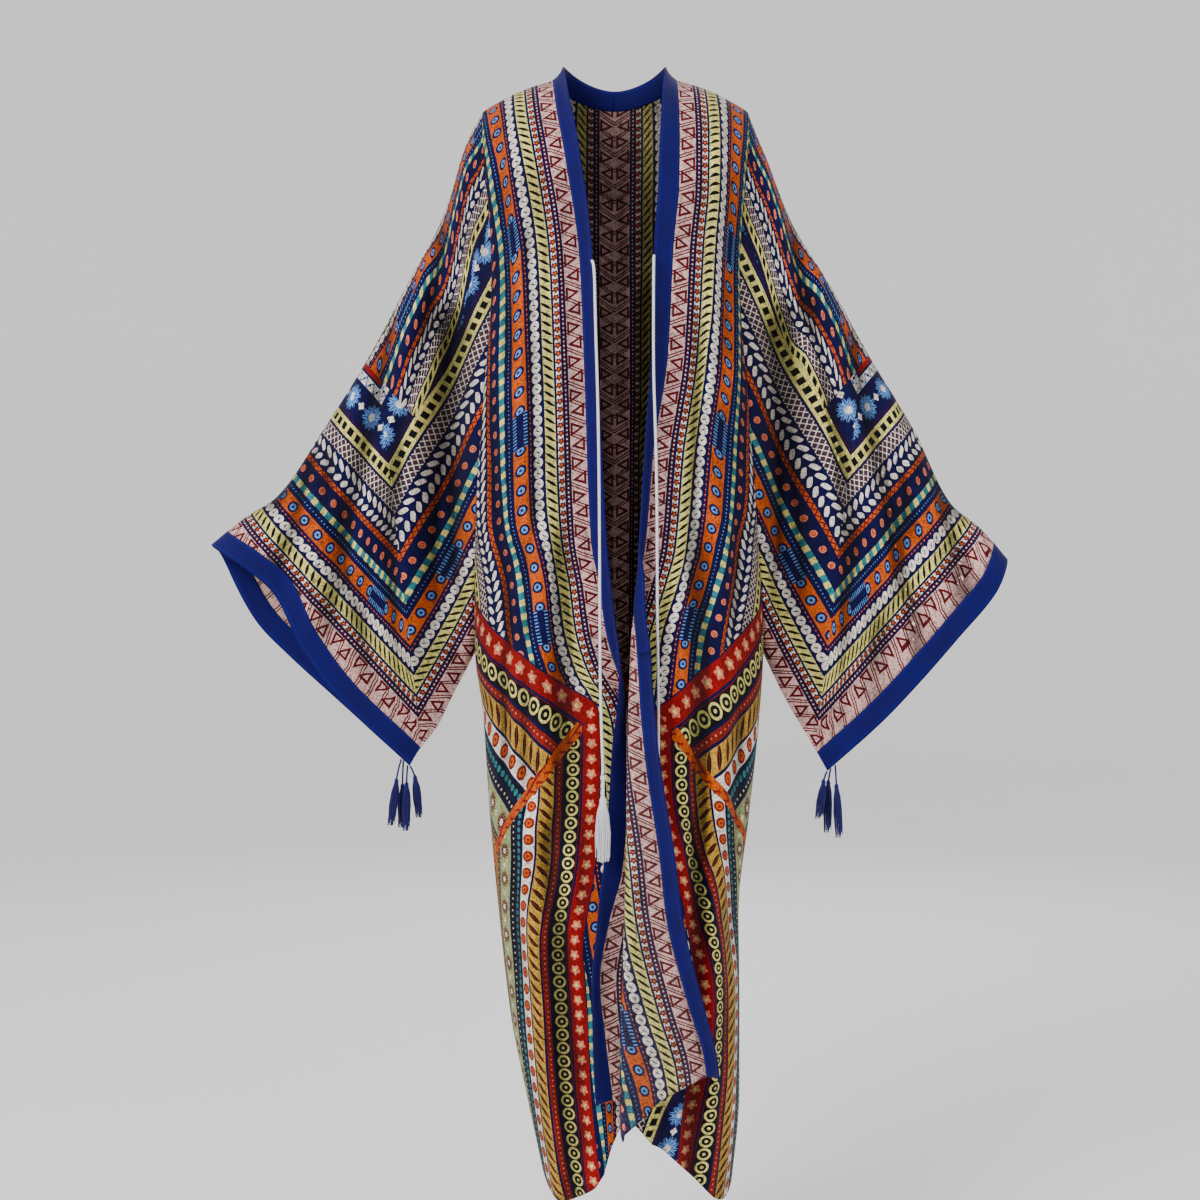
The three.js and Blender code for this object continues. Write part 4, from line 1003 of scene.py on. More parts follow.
def motif_rosettes(p, t, width, pitch, size):
    """Twelve petals parted by rays outside a plain ring, round a disc, with a small flower between two."""
    q = t.repeat(pitch)
    between = (t + pitch / 2).repeat(pitch)
    rays = abs((p.math("ARCTAN2", q) * 6).math("SINE")) < 0.28
    outer = petals(p, q, size, 12)
    return [
        (outer - outer * rays * (1 - disc(p, q, 0.42 * size)), 0),
        (disc(p, q, 0.3 * size), 1),
        (petals(p, between, 0.3 * size, 4), 1),
    ]


def motif_curls(p, t, width, pitch, size):
    """A sine wave's line with a disc in each repeat."""
    wave = (t * (2 * np.pi / pitch)).math("SINE") * (0.3 * width)
    return [(abs(p - wave) < size, 0), (disc(p, t.repeat(pitch), 1.4 * size), 1)]


ROUND_MOTIFS = {
    "dots": motif_dots,
    "eyes": motif_eyes,
    "beads": motif_beads,
    "pearls": motif_pearls,
    "florets": motif_florets,
    "rosettes": motif_rosettes,
    "curls": motif_curls,
}
print("motifs with round parts:", ", ".join(ROUND_MOTIFS))

# %% [markdown]
# ## Motifs with straight parts
# The same rules with absolute values in place of squares give straight sides: a sum of two of them is the
# slope of a triangle, and adding a share of `p` to `t` slants a stroke.


# %% Motifs with straight parts
COMB_PITCH, COMB_LENGTH, COMB_TOOTH, COMB_TOOTH_HALF = 230.0, 40.0, 4.0, 0.8
STROKE_PLACE, STROKE_HALF = 1.6, 0.8


def motif_combs(p, t, width, pitch, size):
    """Eyes, with a dark block here and there that has comb teeth on both edges."""
    block = abs(t.repeat(COMB_PITCH)) < COMB_LENGTH / 2
    teeth = block * (abs(t.repeat(COMB_TOOTH)) < COMB_TOOTH_HALF) * (abs(p) > 0.2 * width)
    eyes = [(mask * (1 - block), ink) for mask, ink in motif_eyes(p, t, width, pitch, size)]
    return [*eyes, (block, 0), (teeth, 1)]


def motif_triangles(p, t, width, pitch, size):
    """Triangles inside triangles that point across by turns, with two slanted strokes between them."""
    stroke = abs((t + p * 0.6 + pitch / 4).repeat(pitch / 2))
    masks = [(abs(stroke - STROKE_PLACE) < STROKE_HALF, 0)]
    for way, shift in ((1, 0), (-1, pitch / 2)):
        rise = p * way + size / 2
        side = abs((t + shift).repeat(pitch)) * 2
        for share, ink in ((1.0, 0), (0.62, 1), (0.36, 0)):
            masks.append(((side + rise < share * size) * (rise > 0.42 * (1 - share) * size), ink))
    return masks


def motif_teeth(p, t, width, pitch, size):
    """Rows of triangles from both edges that stand between each other, each with a smaller one inside."""
    rise = p / width + 0.5
    slant = abs(t.repeat(pitch)) * (2 / pitch)
    other = abs((t + pitch / 2).repeat(pitch)) * (2 / pitch)
    lower = [(rise < 0.8 - slant, 0), (rise < 0.42 - slant, 1)]
    return [*lower, (rise > other + 0.3, 0), (rise > other + 0.68, 1)]


def motif_leaves(p, t, width, pitch, size):
    """A leaf slanted across the band: its half width falls with the square of p, round a fine vein."""
    slant = abs((t + p * 0.8).repeat(pitch))
    return [(slant + p * p * (size / (0.2 * width**2)) < size, 0), (slant < 0.16 * size, 1)]


def motif_sprigs(p, t, width, pitch, size):
    """Leaves in pairs that slant away from the band's middle."""
    out = abs(p)
    slant = abs((t + out * 0.8).repeat(pitch))
    off = out - width / 4
    return [(slant + off * off * (size / (0.04 * width**2)) < size, 0)]


def motif_blocks(p, t, width, pitch, size):
    """One square in each repeat."""
    return [((abs(p) < size) * (abs(t.repeat(pitch)) < size), 0)]


def motif_zigzag(p, t, width, pitch, size):
    """A line that goes to and fro with the distance from the nearest repeat."""
    return [(abs(p - abs(t.repeat(pitch)) * (1.2 * width / pitch) + 0.3 * width) < size, 0)]


def motif_braid(p, t, width, pitch, size):
    """Slanted lines both ways, which cross in lozenges."""
    rising, falling = (abs(way.repeat(pitch)) < size for way in (t + p, t - p))
    return [(rising.math("MAXIMUM", falling), 0)]


MOTIFS = {
    **ROUND_MOTIFS,
    "combs": motif_combs,
    "triangles": motif_triangles,
    "teeth": motif_teeth,
    "leaves": motif_leaves,
    "sprigs": motif_sprigs,
    "blocks": motif_blocks,
    "zigzag": motif_zigzag,
    "braid": motif_braid,
}
print(len(MOTIFS), "motifs")

# %% [markdown]
# ## Place in the print
# A material can't ask which edge is nearest, so UV maps carry the distance from each edge that a set of bands
# follows. The print takes the nearer one, and so gets mitred corners without drawing them. Inside the hips'
# frame the second set takes over.


# %% Place in the print
PRINT_REACH, PRINT_START, HIP_SPREAD, MITRE_SIZE, MITRE_START = 250.0, 0.5, 1.6, 5.0, 22.0


def pick(low, high, mask):
    """Low where the mask is 0 and high where it is 1: low, and the difference times the mask."""
    return low + (high - low) * mask


def edge_place(shader):
    """Distance from the nearer of two edges, or past their reach from the nearer of two others."""
    (a, along_a), (b, along_b), (c, along_c) = (shader.uv("print_" + name) for name in "abc")
    past = a > PRINT_REACH
    c_nearer = past * (c < b)
    place = pick(a.math("MINIMUM", b), c, c_nearer)
    place = pick(place, b, past * (1 - c_nearer))
    along = pick(pick(along_a, along_b, b < a), along_c, c_nearer)
    return place.math("MAXIMUM", PRINT_START).math("WRAP", EDGE_WIDTH, 0.0), along


def hip_place(shader):
    """The same for the hips' frame, with masks of its inside and of the strip along its mitre."""
    (upper, along_upper), (lower, along_lower) = shader.uv("frame_a"), shader.uv("frame_b")
    upper = upper / HIP_SPREAD
    place = upper.math("MINIMUM", lower)
    along = pick(along_upper, along_lower, lower < upper)
    inside = place > 0
    mitre = (abs(upper - lower) < MITRE_SIZE) * inside * (place > MITRE_START)
    return place.math("WRAP", HIP_WIDTH, 0.0) + EDGE_WIDTH, along, inside, mitre


print("the edge set repeats past", EDGE_WIDTH, "mm, the hip set past", HIP_WIDTH, "mm")

# %% [markdown]
# ## Printed crepe
# Viscose crepe is light and matt, and ink soaks through it, so its wrong side is hardly paler. A ramp with a
# stop for each band gives the grounds, and each band's motif goes over its own. Patches, grain, crinkles and
# specks thin the ink. The troughs of folds get painted shade and their ridges painted light, and a fine grain
# and soft upright crinkles give the bump.


# %% Printed crepe
LINE_HALF_WIDTH, HEM_TURN, HEM_LINE_HALF = 1.3, 11.0, 0.7
MITRE_PITCH, MITRE_DOT = 2.2 * MITRE_SIZE, 0.8 * MITRE_SIZE
PATCH_CELLS, GRAIN_CELLS, SPECK_CELLS, CRINKLE_CELLS = 26.0, 1100.0, 520.0, (210.0, 210.0, 34.0)
INK = {"least": 0.24, "patch": 0.4, "grain": 0.3, "crinkle": 0.5, "speck": 0.4}
# OPEN_SHADE and TROUGH_SHADE set the painted shade of the folds: darker in troughs, lighter on ridges.
SPECK_SHARE, WRONG_SIDE_PALER, OPEN_SHADE, TROUGH_SHADE = 0.45, 0.03, 1.24, 0.9
GRAIN_RELIEF, FOLD_RELIEF = 0.35, 0.5


def inked(shader, place, along):
    """Ground colours from a ramp of band widths, each band's motif over it, and a dark line between bands."""
    stack, total = EDGE_BANDS + HIP_BANDS, EDGE_WIDTH + HIP_WIDTH
    colour = shader.node("ShaderNodeValToRGB", None, {0: place / total})
    stops = colour.socket.node.color_ramp
    stops.interpolation = "CONSTANT"
    start, lines = 0.0, place.math("COMPARE", EDGE_WIDTH, LINE_HALF_WIDTH)
    for index, (width, ground, motif, ink, second, pitch, size) in enumerate(stack):
        stop = stops.elements[index] if index < 2 else stops.elements.new(start / total)
        stop.position, stop.color = start / total, linear(ground)
        if motif != "plain":
            middle = start + width / 2
            here = place.math("COMPARE", middle, width / 2)
            for mask, which in MOTIFS[motif](place - middle, along, width, pitch, size):
                colour = shader.choose(mask * here, colour, linear((ink, second)[which]))
        start += width
        lines = lines + place.math("COMPARE", start, LINE_HALF_WIDTH)
    return shader.choose(lines.math("MINIMUM", 1.0), colour, linear("navy"))


def print_material():
    """Ink by its place in the print, times the ink's thinning and a painted shade of the folds' troughs, with
    the crepe's grain and crinkles as its height.
    """
    shader = Shader("printed_crepe")
    edge, edge_along = edge_place(shader)
    hip, hip_along, inside, mitre = hip_place(shader)
    along = pick(edge_along, hip_along, inside)
    colour = inked(shader, pick(edge, hip, inside), along)
    dot = mitre * (abs(along.repeat(MITRE_PITCH)) < MITRE_DOT)
    colour = shader.choose(dot, shader.choose(mitre, colour, linear("brown")), linear("orange"))
    colour = shader.choose(shader.attribute("wrong_side") * WRONG_SIDE_PALER, colour, linear("cream"))
    patch, grain = shader.noise(PATCH_CELLS, 1.0), shader.noise(GRAIN_CELLS, 0.0)
    crinkle = shader.noise(1.0, 1.0, CRINKLE_CELLS)
    speck = (shader.noise(SPECK_CELLS, 0.0) < SPECK_SHARE) * INK["speck"]
    ink = patch * INK["patch"] + grain * INK["grain"] + crinkle * INK["crinkle"] + INK["least"] - speck
    # Painted shade: the print is darker in the troughs of folds and lighter on their ridges.
    colour = shader.darken(colour, ink * (OPEN_SHADE - shader.attribute("trough") * TROUGH_SHADE))
    hem, _ = shader.uv("hem")
    fold_line = abs(hem - HEM_TURN) < HEM_LINE_HALF
    height = grain * GRAIN_RELIEF + crinkle - fold_line * FOLD_RELIEF
    return shader.finish(colour, height, roughness=0.86, bump=0.6, distance=0.0011)


printed = print_material()
print("printed crepe has", len(printed.node_tree.nodes), "nodes")

# %% [markdown]
# ## Binding, cord and thread
# The bands are plain cobalt with a row of stitches near both edges. The ties are white cords laid
# from three strands. The tassels are loose thread. None of them carries a pattern, so a noise stretched along
# the fibres is enough, and the stitches follow the band's own UV map.


# %% Binding, cord and thread
STITCH_INSET, STITCH_PITCH, DITCH_HALF_WIDTH = 2.2, 3.4, 0.9
STITCH_HALF_WIDTH, STITCH_HALF_LENGTH = 0.45, 1.15
WEAVE_CELLS, BINDING_PATCH_CELLS = 1300.0, 34.0
BINDING_DARK, BINDING_LIGHT = (0.0012, 0.0004, 0.035, 1), (0.003, 0.001, 0.12, 1)
STITCH_BLUE = (0.006, 0.004, 0.2, 1)
CORD_DARK, CORD_LIGHT, CORD_FIBRES = (0.3, 0.3, 0.36, 1), (0.95, 0.95, 0.97, 1), (1800.0, 1800.0, 520.0)
THREAD_DARK, THREAD_LIGHT = (0.001, 0.0004, 0.025, 1), (0.004, 0.002, 0.16, 1)
THREAD_FIBRES = (2600.0, 2600.0, 220.0)


def binding_material():
    """Plain weave, with a stitch wherever a place is near a stitch line and near the middle of a pitch."""
    shader = Shader("blue_binding")
    across, along = shader.uv("band")
    line = abs(across - STITCH_INSET).math("MINIMUM", abs(across - (BAND_WIDTH - STITCH_INSET)))
    stitch = (line < STITCH_HALF_WIDTH) * (abs(along.repeat(STITCH_PITCH)) < STITCH_HALF_LENGTH)
    ditch = (line < DITCH_HALF_WIDTH) * (1 - stitch)
    weave, patch = shader.noise(WEAVE_CELLS, 1.0), shader.noise(BINDING_PATCH_CELLS, 3.0)
    colour = shader.choose(patch * 0.55 + weave * 0.3, BINDING_DARK, BINDING_LIGHT)
    colour = shader.choose(stitch, colour, STITCH_BLUE)
    height = weave * 0.4 + patch * 0.6 + stitch * 1.2 - ditch * 0.6
    return shader.finish(colour, height, roughness=0.85, bump=0.5, distance=0.0005, sheen=0.03)


def thread_material(name, dark, light, fibres):
    """Thread: light and dark fibres along its length, from noise cells that are long and narrow."""
    shader = Shader(name)
    fibre = shader.noise(1.0, 2.0, fibres)
    colour = shader.choose(fibre, dark, light)
    return shader.finish(colour, fibre, roughness=0.78, bump=0.35, distance=0.0003, sheen=0.25)


binding = binding_material()
white_cord = thread_material("white_cord", CORD_DARK, CORD_LIGHT, CORD_FIBRES)
blue_thread = thread_material("blue_thread", THREAD_DARK, THREAD_LIGHT, THREAD_FIBRES)
print("materials:", ", ".join(material.name for material in (printed, binding, white_cord, blue_thread)))

# %% [markdown]
# ## From grid to cloth
# A piece of cloth is a grid of points with a thin wall round it. A Solidify modifier could thicken it too,
# but a wall made here keeps the outer face for the print and the inner one for its wrong side. UV maps carry
# distances on the cloth. One attribute marks the wrong side, and another gives the painted shade of the
# folds' troughs.


# %% From grid to cloth
# Depth and window of the mean that set the painted shade of the folds.
TROUGH_DEPTH, LEVEL_SHARE = 3.0, 0.4
TROUGH_ROWS, TROUGH_COLUMNS = 7, 11


def run(grid, axis):
    """Distance along the cloth from the first row or column."""
    steps = np.linalg.norm(np.diff(grid, axis=axis), axis=-1)
    pad = [(0, 0), (0, 0)]
    pad[axis] = (1, 0)
    return np.cumsum(np.pad(steps, pad), axis)


def cloth_area(grid):
    """Area of a grid in square metres: half the cross product of each cell's diagonals."""
    one, two = grid[1:, 1:] - grid[:-1, :-1], grid[1:, :-1] - grid[:-1, 1:]
    return float(np.linalg.norm(np.cross(one, two), axis=-1).sum() / 2 * MM**2)


def trough_shade_share(grid, normal):
    """Share of painted shade at a place: its depth in a fold's trough under the mean of the cloth round it.
    """
    mean = grid
    for axis, count in enumerate((TROUGH_ROWS, TROUGH_COLUMNS)):
        weights = np.hanning(count + 2)[1:-1]
        pad = [(0, 0)] * 3
        pad[axis] = (count // 2, count // 2)
        padded = np.pad(mean, pad, "edge")
        shifted = [np.take(padded, np.arange(step, step + grid.shape[axis]), axis) for step in range(count)]
        mean = np.tensordot(weights / weights.sum(), shifted, 1)
    depth = ((mean - grid) * normal).sum(-1)
    return np.clip(LEVEL_SHARE + depth / TROUGH_DEPTH, 0, 1)


def mesh_of(name, points, faces, material, smooth=True):
    """Mesh of points in millimetres and faces that list their points."""
    mesh = bpy.data.meshes.new(name)
    mesh.from_pydata((points.reshape(-1, 3) * MM).tolist(), [], faces)
    mesh.polygons.foreach_set("use_smooth", np.full(len(mesh.polygons), smooth))
    mesh.materials.append(material)
    return mesh


def sewn_in(name, mesh):
    """Piece that rides on the garment's one body."""
    piece = bpy.data.objects.new(name, mesh)
    bpy.context.scene.collection.objects.link(piece)
    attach(piece, "root")
    return piece


def wall_faces(rows, columns):
    """Four-sided faces of the outer grid, of the inner one turned round, and of the rim between them."""
    inner = rows * columns
    outer = np.arange(inner).reshape(rows, columns)
    quads = np.stack([outer[:-1, :-1], outer[1:, :-1], outer[1:, 1:], outer[:-1, 1:]], -1).reshape(-1, 4)
    rim = np.concatenate([outer[0, :-1], outer[:-1, -1], outer[-1, :0:-1], outer[:0:-1, 0]])
    after = np.roll(rim, -1)
    sides = np.stack([rim, after, after + inner, rim + inner], -1)
    return np.concatenate([quads, quads[:, ::-1] + inner, sides])


def shell(name, grid, normal, thickness, material, uvs):
    """Closed wall: the grid moved out and in by half the thickness, joined round its rim."""
    faces = wall_faces(*grid.shape[:2])
    if (normal * normals(grid)).sum() < 0:
        faces = faces[:, ::-1]
    points = np.concatenate([grid + normal * thickness / 2, grid - normal * thickness / 2])
    mesh = mesh_of(name, points, faces.tolist(), material)
    corners = np.zeros(len(mesh.loops), np.int32)
    mesh.loops.foreach_get("vertex_index", corners)
    for key, (across, along) in uvs.items():
        flat = np.stack([across, along], -1).reshape(-1, 2) / UV_SCALE
        layer = mesh.uv_layers.new(name=key)
        layer.data.foreach_set("uv", np.concatenate([flat, flat])[corners].astype(np.float32).ravel())
    # The trough share darkens the print as painted shade of the folds; the inner face gets it turned round.
    low = trough_shade_share(grid, normal).ravel()
    both_sides = {"wrong_side": (0 * low, 1 + 0 * low), "trough": (low, 2 * LEVEL_SHARE - low)}
    for key, values in both_sides.items():
        values = np.concatenate(values).astype(np.float32)
        mesh.attributes.new(key, "FLOAT", "POINT").data.foreach_set("value", values)
    return sewn_in(name, mesh)


def declare(piece, grid, node):
    """States the cut: the widest and longest run of the cloth, and its flat area."""
    width, length = (float(run(grid, axis).max() * MM) for axis in (1, 0))
    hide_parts(node)
    min(cloth_area(grid), width * length)
    print(f"{piece.name}: {width:.3f} by {length:.3f} m, {cloth_area(grid):.3f} square metres")


print("cloth", CLOTH, "mm thick, binding", BINDING, "mm")

# %% [markdown]
# ## Where the bands lie on the fronts and the back
# On a front the first set is measured from the band's seam outwards, also round the lapel, and on the back
# from its centre. The hip frame has a corner near the edge: above it a side that rises outwards, below it one
# that drifts away from the edge as it goes down. Columns of the tables: height, and distance from the edge.

# %% Fronts and back
FAR = 5000.0
FRAME_RISE = np.radians(38)
FRAME_SIDES = {
    "right": table("z reach", (-719, 44), (-891, 64), (-1006, 96), (-1179, 108), (-1290, 118)),
    "left": table("z reach", (-725, 50), (-815, 65), (-945, 120), (-1064, 176), (-1180, 215), (-1290, 250)),
    "back": table("z reach", (-700, 6), (-900, 34), (-1100, 62), (-1290, 86)),
}


def far_from(grid):
    """A distance that never is the nearest, for a set of bands that a piece doesn't have."""
    return np.full(grid.shape[:2], FAR), np.zeros(grid.shape[:2])


def hem_distance(grid):
    """Cloth distance up from the hem."""
    down = run(grid, 0)
    return down[-1:] - down, run(grid, 1)


def frame_maps(distance, z, sides):
    """Distances inside the frame: below its rising side and outside its falling side."""
    below, away = sides["z"][0] - z, distance - sides["reach"][0]
    upper = below * np.cos(FRAME_RISE) + away * np.sin(FRAME_RISE)
    along = away * np.cos(FRAME_RISE) - below * np.sin(FRAME_RISE)
    return {"frame_a": (upper, along), "frame_b": (distance - read(sides, "z", "reach", z), -z)}


def body_maps(grid, distance, sides):
    """All the maps of a front or of the back, whose bands follow one edge."""
    beside_edge = (distance, run(grid, 0))
    maps = {"print_b": far_from(grid), "print_a": beside_edge, "print_c": beside_edge}
    return {**maps, **frame_maps(distance, grid[..., 2], sides), "hem": hem_distance(grid)}


for name, grid in fronts.items():
    from_band = run(grid[:, ::-1], 1)[:, ::-1]
    maps = body_maps(grid, from_band, FRAME_SIDES[name])
    piece = shell("cloth_front_" + name, grid, outward(grid, -1), CLOTH, printed, maps)
    declare(piece, grid, "front_" + name)

across = run(back, 1)
from_centre = np.abs(across - across[:, back.shape[1] // 2][:, None])
maps = body_maps(back, from_centre, FRAME_SIDES["back"])
piece = shell("cloth_back", back, outward(back, 1), CLOTH, printed, maps)
declare(piece, back, "back")

# %% [markdown]
# ## Where the bands lie on the sleeves
# Two sets meet in a V at the hanging corner: one runs beside the sleeve's end, the other beside the underarm.
# Past their reach a third set follows the top of the arm.


# %% Sleeves' print and the blue bands
TOP_SET_START = 30.0


def beside(grid, start, end):
    """Distance from a straight line in the frontal plane, positive above or inside it, and along it."""
    x, z = np.abs(grid[..., 0]) - start[0], grid[..., 2] - start[1]
    way = unit(np.array(end, float) - start)
    return x * way[1] - z * way[0], x * way[0] + z * way[1]


for (name, face), grid in sleeves.items():
    side = SIDES[name]
    wrist, corner = ([side["cuff"]["front_x"][at], side["cuff"]["front_z"][at]] for at in (0, -1))
    crotch = [side["underarm"]["x"][0], side["underarm"]["z"][0]]
    from_end, _ = beside(grid, wrist, corner)
    from_under, along_under = beside(grid, corner, crotch)
    far, zero = far_from(grid)
    maps = {
        "print_a": (np.maximum(from_end - CUFF_BAND_WIDTH, 0), run(grid, 0)),
        "print_b": (np.maximum(from_under, 0), along_under),
        "print_c": (run(grid, 0) + TOP_SET_START, run(grid, 1)),
        "frame_a": (-far, zero),
        "frame_b": (-far, zero),
        "hem": (far, zero),
    }
    normal = outward(grid, -1 if face == "front" else 1)
    piece = shell(f"cloth_sleeve_{face}_{name}", grid, normal, CLOTH, printed, maps)
    declare(piece, grid, f"sleeve_{face}_{name}")

for kind, group in (("band", bands), ("cuff_band", cuff_bands)):
    for name, grid in group.items():
        maps = {"band": (run(grid, 1), run(grid, 0))}
        piece = shell(f"cloth_{kind}_{name}", grid, outward(grid, -1), BINDING, binding, maps)
        declare(piece, grid, f"{kind}_{name}")

# %% [markdown]
# ## Ties
# Each tie leaves its band's edge, bends down within a few diameters and hangs by its own weight. It is
# laid from three strands, so its section is a clover that turns as it goes along. A curve with a round bevel
# would hide the strands, so the clover is carried along the route here. Both routes are listed.

# %% Ties
CORD_RADIUS, CORD_SIDES, CORD_LAY, CORD_STATIONS = 1.65, 24, 11.0, 560
TIES = {
    "right": table(
        "x y z",
        (-27, -132.6, -226),
        (-26, -136.4, -228),
        (-25, -139.3, -234),
        (-24.2, -141, -245),
        (-23.6, -141.6, -270),
        (-22.6, -142, -310),
        (-20.9, -142.5, -366),
        (-19.6, -143.4, -430),
        (-18.8, -144.6, -500),
        (-18.4, -146, -560),
        (-18.2, -148, -620),
        (-17.8, -150.4, -680),
        (-16.8, -153, -730),
        (-15.6, -155, -768),
        (-14.6, -156, -796),
    ),
    "left": table(
        "x y z",
        (42.5, -125.2, -219),
        (42.1, -128.8, -221),
        (42, -131.6, -227),
        (41.8, -133.2, -238),
        (41.6, -134, -262),
        (41.5, -134.6, -310),
        (41.8, -135, -350),
        (43.2, -135.2, -400),
        (44.6, -135.4, -450),
        (45.4, -135.6, -510),
        (45.6, -136, -570),
        (45.8, -137.6, -630),
        (46.6, -140.6, -690),
        (46.8, -143.6, -750),
        (46.4, -145.6, -796),
    ),
}
CORD_WAIST = 0.72


def clover_tube(route):
    """Points round a line whose radius swells three times round, turning once in each lay length."""
    steps = np.sqrt(sum(np.diff(route[axis]) ** 2 for axis in "xyz"))
    rows = dict(route, run=np.concatenate([[0], np.cumsum(steps)]))
    at = np.linspace(0, rows["run"][-1], CORD_STATIONS)
    centre = np.stack([read(rows, "run", axis, at) for axis in "xyz"], -1)
    ahead = unit(np.gradient(centre, axis=0))
    side = unit(np.cross(ahead, (1, 0, 0)))
    other = np.cross(ahead, side)
    angle = np.linspace(0, 2 * np.pi, CORD_SIDES, endpoint=False)[None, :]
    swell = np.abs(np.cos(1.5 * (angle - 2 * np.pi * at[:, None] / CORD_LAY)))
    radius = CORD_RADIUS * mix(CORD_WAIST, 1.0, swell)[..., None]
    round_it = np.cos(angle)[..., None] * side[:, None] + np.sin(angle)[..., None] * other[:, None]
    return centre, centre[:, None] + radius * round_it


def tie(name, route):
    """Tube round the route, with its ends capped and its length measured along its middle."""
    centre, points = clover_tube(route)
    index = np.arange(CORD_STATIONS * CORD_SIDES).reshape(CORD_STATIONS, CORD_SIDES)
    turned = np.roll(index, -1, 1)
    quads = np.stack([index[:-1], turned[:-1], turned[1:], index[1:]], -1).reshape(-1, 4)
    faces = quads.tolist() + [index[0, ::-1].tolist(), index[-1].tolist()]
    piece = sewn_in("cord_" + name, mesh_of("cord_" + name, points, faces, white_cord))
    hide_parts("tie_" + name)
    (centre[0] * MM).tolist()
    (centre * MM).tolist()
    return centre[-1]


tie_ends = {name: tie(name, route) for name, route in TIES.items()}

# %% [markdown]
# ## Tassels
# Under each tassel's wrapped head hang loose threads. The solids hold the main locks. Finer threads
# are set among them here, each with its own slight curve, so that the tassel reads as thread. Each is a slim
# square prism: at under a millimetre thick, more sides would cost triangles and not show.

# %% Tassels
SLEEVE_TASSELS = {
    "right": table(
        "head_x head_y head_z end_x end_y end_z",
        (255, -39, -815, 261, -41, -866),
        (249, -28, -822, 250, -27, -870),
        (243, -41, -819, 243, -43, -872),
        (234, -31, -812, 229, -30, -858),
    ),
    "left": table(
        "head_x head_y head_z end_x end_y end_z",
        (257, -40, -821, 260, -42, -880),
        (249, -28, -818, 248, -27, -876),
        (242, -40, -816, 236, -42, -858),
    ),
}
TIE_TASSEL_DROP = {"knot": 3.8, "neck": 26, "length": 66}
TIE_SPREAD = {"right": 8.0, "left": 6.4}
TIE_THREADS = {"count": 76, "width": 0.62, "top": 2.6}
SLEEVE_THREADS = {"spread": 5.2, "count": 46, "width": 0.4, "top": 1.7}
GOLDEN_TURN = np.pi * (3 - np.sqrt(5))
THREAD_SHARES, THREAD_SWELL = [0, 0.25, 0.55, 0.8, 1.0], [0.75, 1.0, 0.98, 0.94]
THREAD_UNEVEN, THREAD_WAVE, THREAD_TAPER = 0.05, 0.5, 0.25


def thread_points(head, end, spread, count, width, top):
    """Threads on a sunflower disc: the turn grows by the golden angle and the radius as a square root."""
    number, share = np.arange(count)[:, None], np.array(THREAD_SHARES)[None, :]
    turn, out = number * GOLDEN_TURN, np.sqrt((number + 0.5) / count)
    length = 1 - THREAD_UNEVEN * ((number * 7) % 5)
    swell = np.interp(share, THREAD_SHARES, [top / spread, *THREAD_SWELL])
    wave = THREAD_WAVE * np.sin(number * 2.4 + 5 * share)
    head, end = np.array(head, float), np.array(end, float)
    centre = head + (end - head) * (share * length)[..., None]
    centre[..., 0] += spread * swell * out * np.cos(turn) + wave
    centre[..., 1] += spread * swell * out * np.sin(turn) + wave
    corner = np.array([(1, 0, 0), (0, 1, 0), (-1, 0, 0), (0, -1, 0)]) * width
    return centre[:, :, None] + corner * (1 - THREAD_TAPER * share)[..., None, None]


def threads(name, head, end, sizes, material):
    """Square prisms round all threads, with both ends capped."""
    points = thread_points(head, end, **sizes)
    index = np.arange(points.size // 3).reshape(points.shape[:3])
    turned = np.roll(index, -1, 2)
    quads = np.stack([index[:, 1:], turned[:, 1:], turned[:, :-1], index[:, :-1]], -1).reshape(-1, 4)
    faces = np.concatenate([quads, index[:, 0], index[:, -1, ::-1]])
    piece = sewn_in(name, mesh_of(name, points, faces.tolist(), material, smooth=False))


def paint(node, material):
    """Gives a CAD node its finished material."""
    node.data.materials.clear()
    node.data.materials.append(material)


for name, end in tie_ends.items():
    head = end - (0, 0, TIE_TASSEL_DROP["knot"] + TIE_TASSEL_DROP["neck"])
    foot = head - (0, 0, TIE_TASSEL_DROP["length"])
    sizes = {"spread": TIE_SPREAD[name], **TIE_THREADS}
    threads("tie_threads_" + name, head, foot, sizes, white_cord)
    paint(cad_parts["tie_tassel_" + name], white_cord)

for name, rows in SLEEVE_TASSELS.items():
    for at in range(len(rows["head_x"])):
        head, foot = (np.array([rows[f"{end}_{axis}"][at] for axis in "xyz"]) for end in ("head", "end"))
        head, foot = head * (SIDES[name]["sign"], 1, 1), foot * (SIDES[name]["sign"], 1, 1)
        part = f"{name}_{at + 1}"
        threads("sleeve_threads_" + part, head, foot, SLEEVE_THREADS, blue_thread)
        paint(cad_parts["sleeve_tassel_" + part], blue_thread)
print("tassels:", {name: len(rows["head_x"]) for name, rows in SLEEVE_TASSELS.items()}, "and one on each tie")

# %% [markdown]
# ## Studio
# A pale sweep runs all round, so no view meets an edge. The strongest light stands before the garment on the
# left, a broader and weaker one on the right, and a third behind it. A pale world fills the shadows, because
# the photograph has hardly any. The studio's own sizes are in metres.

# %% Studio
FLOOR_Z, SWEEP_RADIUS, SWEEP_FLAT, SWEEP_SIDES = -1.45, 1.6, 4.4, 96
SWEEP_POLE, SWEEP_INNER, WALL_TOP, BEND_POINTS = 0.01, 2.5, 5.5, 14
MIDDLE, WORLD_STRENGTH = (0, 0, -0.6), 0.95
LIGHTS = {
    "key": ((-2.2, -3.0, 1.4), 1.5, 175),
    "fill": ((2.8, -2.6, 0.2), 2.4, 34),
    "rim": ((0.6, 3.0, 1.6), 2.2, 60),
}


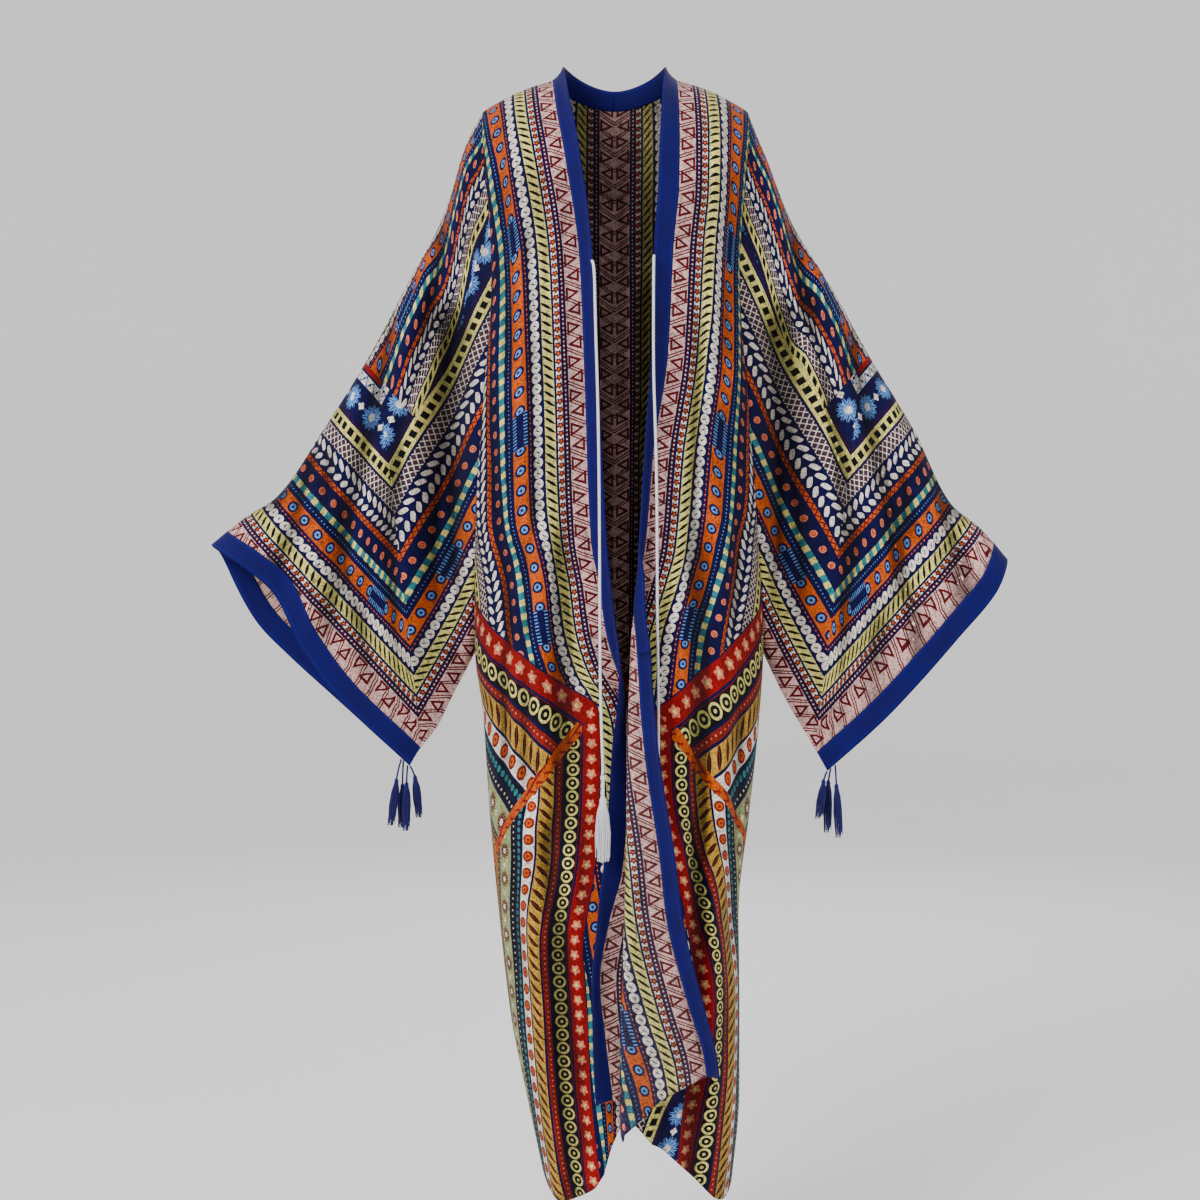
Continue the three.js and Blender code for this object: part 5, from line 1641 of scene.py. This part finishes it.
def studio_sweep():
    """Bowl: a flat floor, a quarter circle and a wall, turned round the upright axis."""
    angle = np.linspace(0, np.pi / 2, BEND_POINTS)
    bend_out, bend_up = SWEEP_RADIUS * np.sin(angle), SWEEP_RADIUS * (1 - np.cos(angle))
    out = np.concatenate([[SWEEP_POLE, SWEEP_INNER], SWEEP_FLAT + bend_out, [SWEEP_FLAT + SWEEP_RADIUS]])
    up = np.concatenate([[0, 0], bend_up, [WALL_TOP]]) + FLOOR_Z
    turn = np.linspace(0, 2 * np.pi, SWEEP_SIDES, endpoint=False)[:, None]
    points = np.stack([out * np.cos(turn), out * np.sin(turn), up + 0 * turn], -1)
    index = np.arange(points.size // 3).reshape(points.shape[:2])
    after = np.roll(index, -1, 0)
    quads = np.stack([index[:, :-1], index[:, 1:], after[:, 1:], after[:, :-1]], -1).reshape(-1, 4)
    shader = Shader("studio_paint")
    patch = shader.noise(0.6, 1.0)
    colour = shader.choose(patch, (0.8, 0.8, 0.8, 1), (0.84, 0.84, 0.84, 1))
    wall = shader.finish(colour, patch, roughness=0.9, bump=0.0, distance=0.001, sheen=0.0)
    sweep = bpy.data.objects.new("studio_sweep", mesh_of("studio_sweep", points / MM, quads.tolist(), wall))
    bpy.context.scene.collection.objects.link(sweep)


def area_light(name, place, size, power):
    """Soft square light that faces the garment's middle."""
    light = bpy.data.lights.new(name, "AREA")
    light.size, light.energy = size, power
    lamp = bpy.data.objects.new(name, light)
    lamp.location = place
    way = np.array(MIDDLE, float) - place
    lamp.rotation_euler = (np.arccos(-way[2] / np.linalg.norm(way)), 0, np.arctan2(-way[0], way[1]))
    bpy.context.scene.collection.objects.link(lamp)


studio_sweep()
for name, (place, size, power) in LIGHTS.items():
    area_light(name, place, size, power)
world = bpy.data.worlds.new("studio_air")
world.use_nodes = True
air = world.node_tree.nodes["Background"].inputs
air["Color"].default_value = (1, 1, 1, 1)
air["Strength"].default_value = WORLD_STRENGTH
bpy.context.scene.world = world
print("studio: sweep and", len(LIGHTS), "lights")
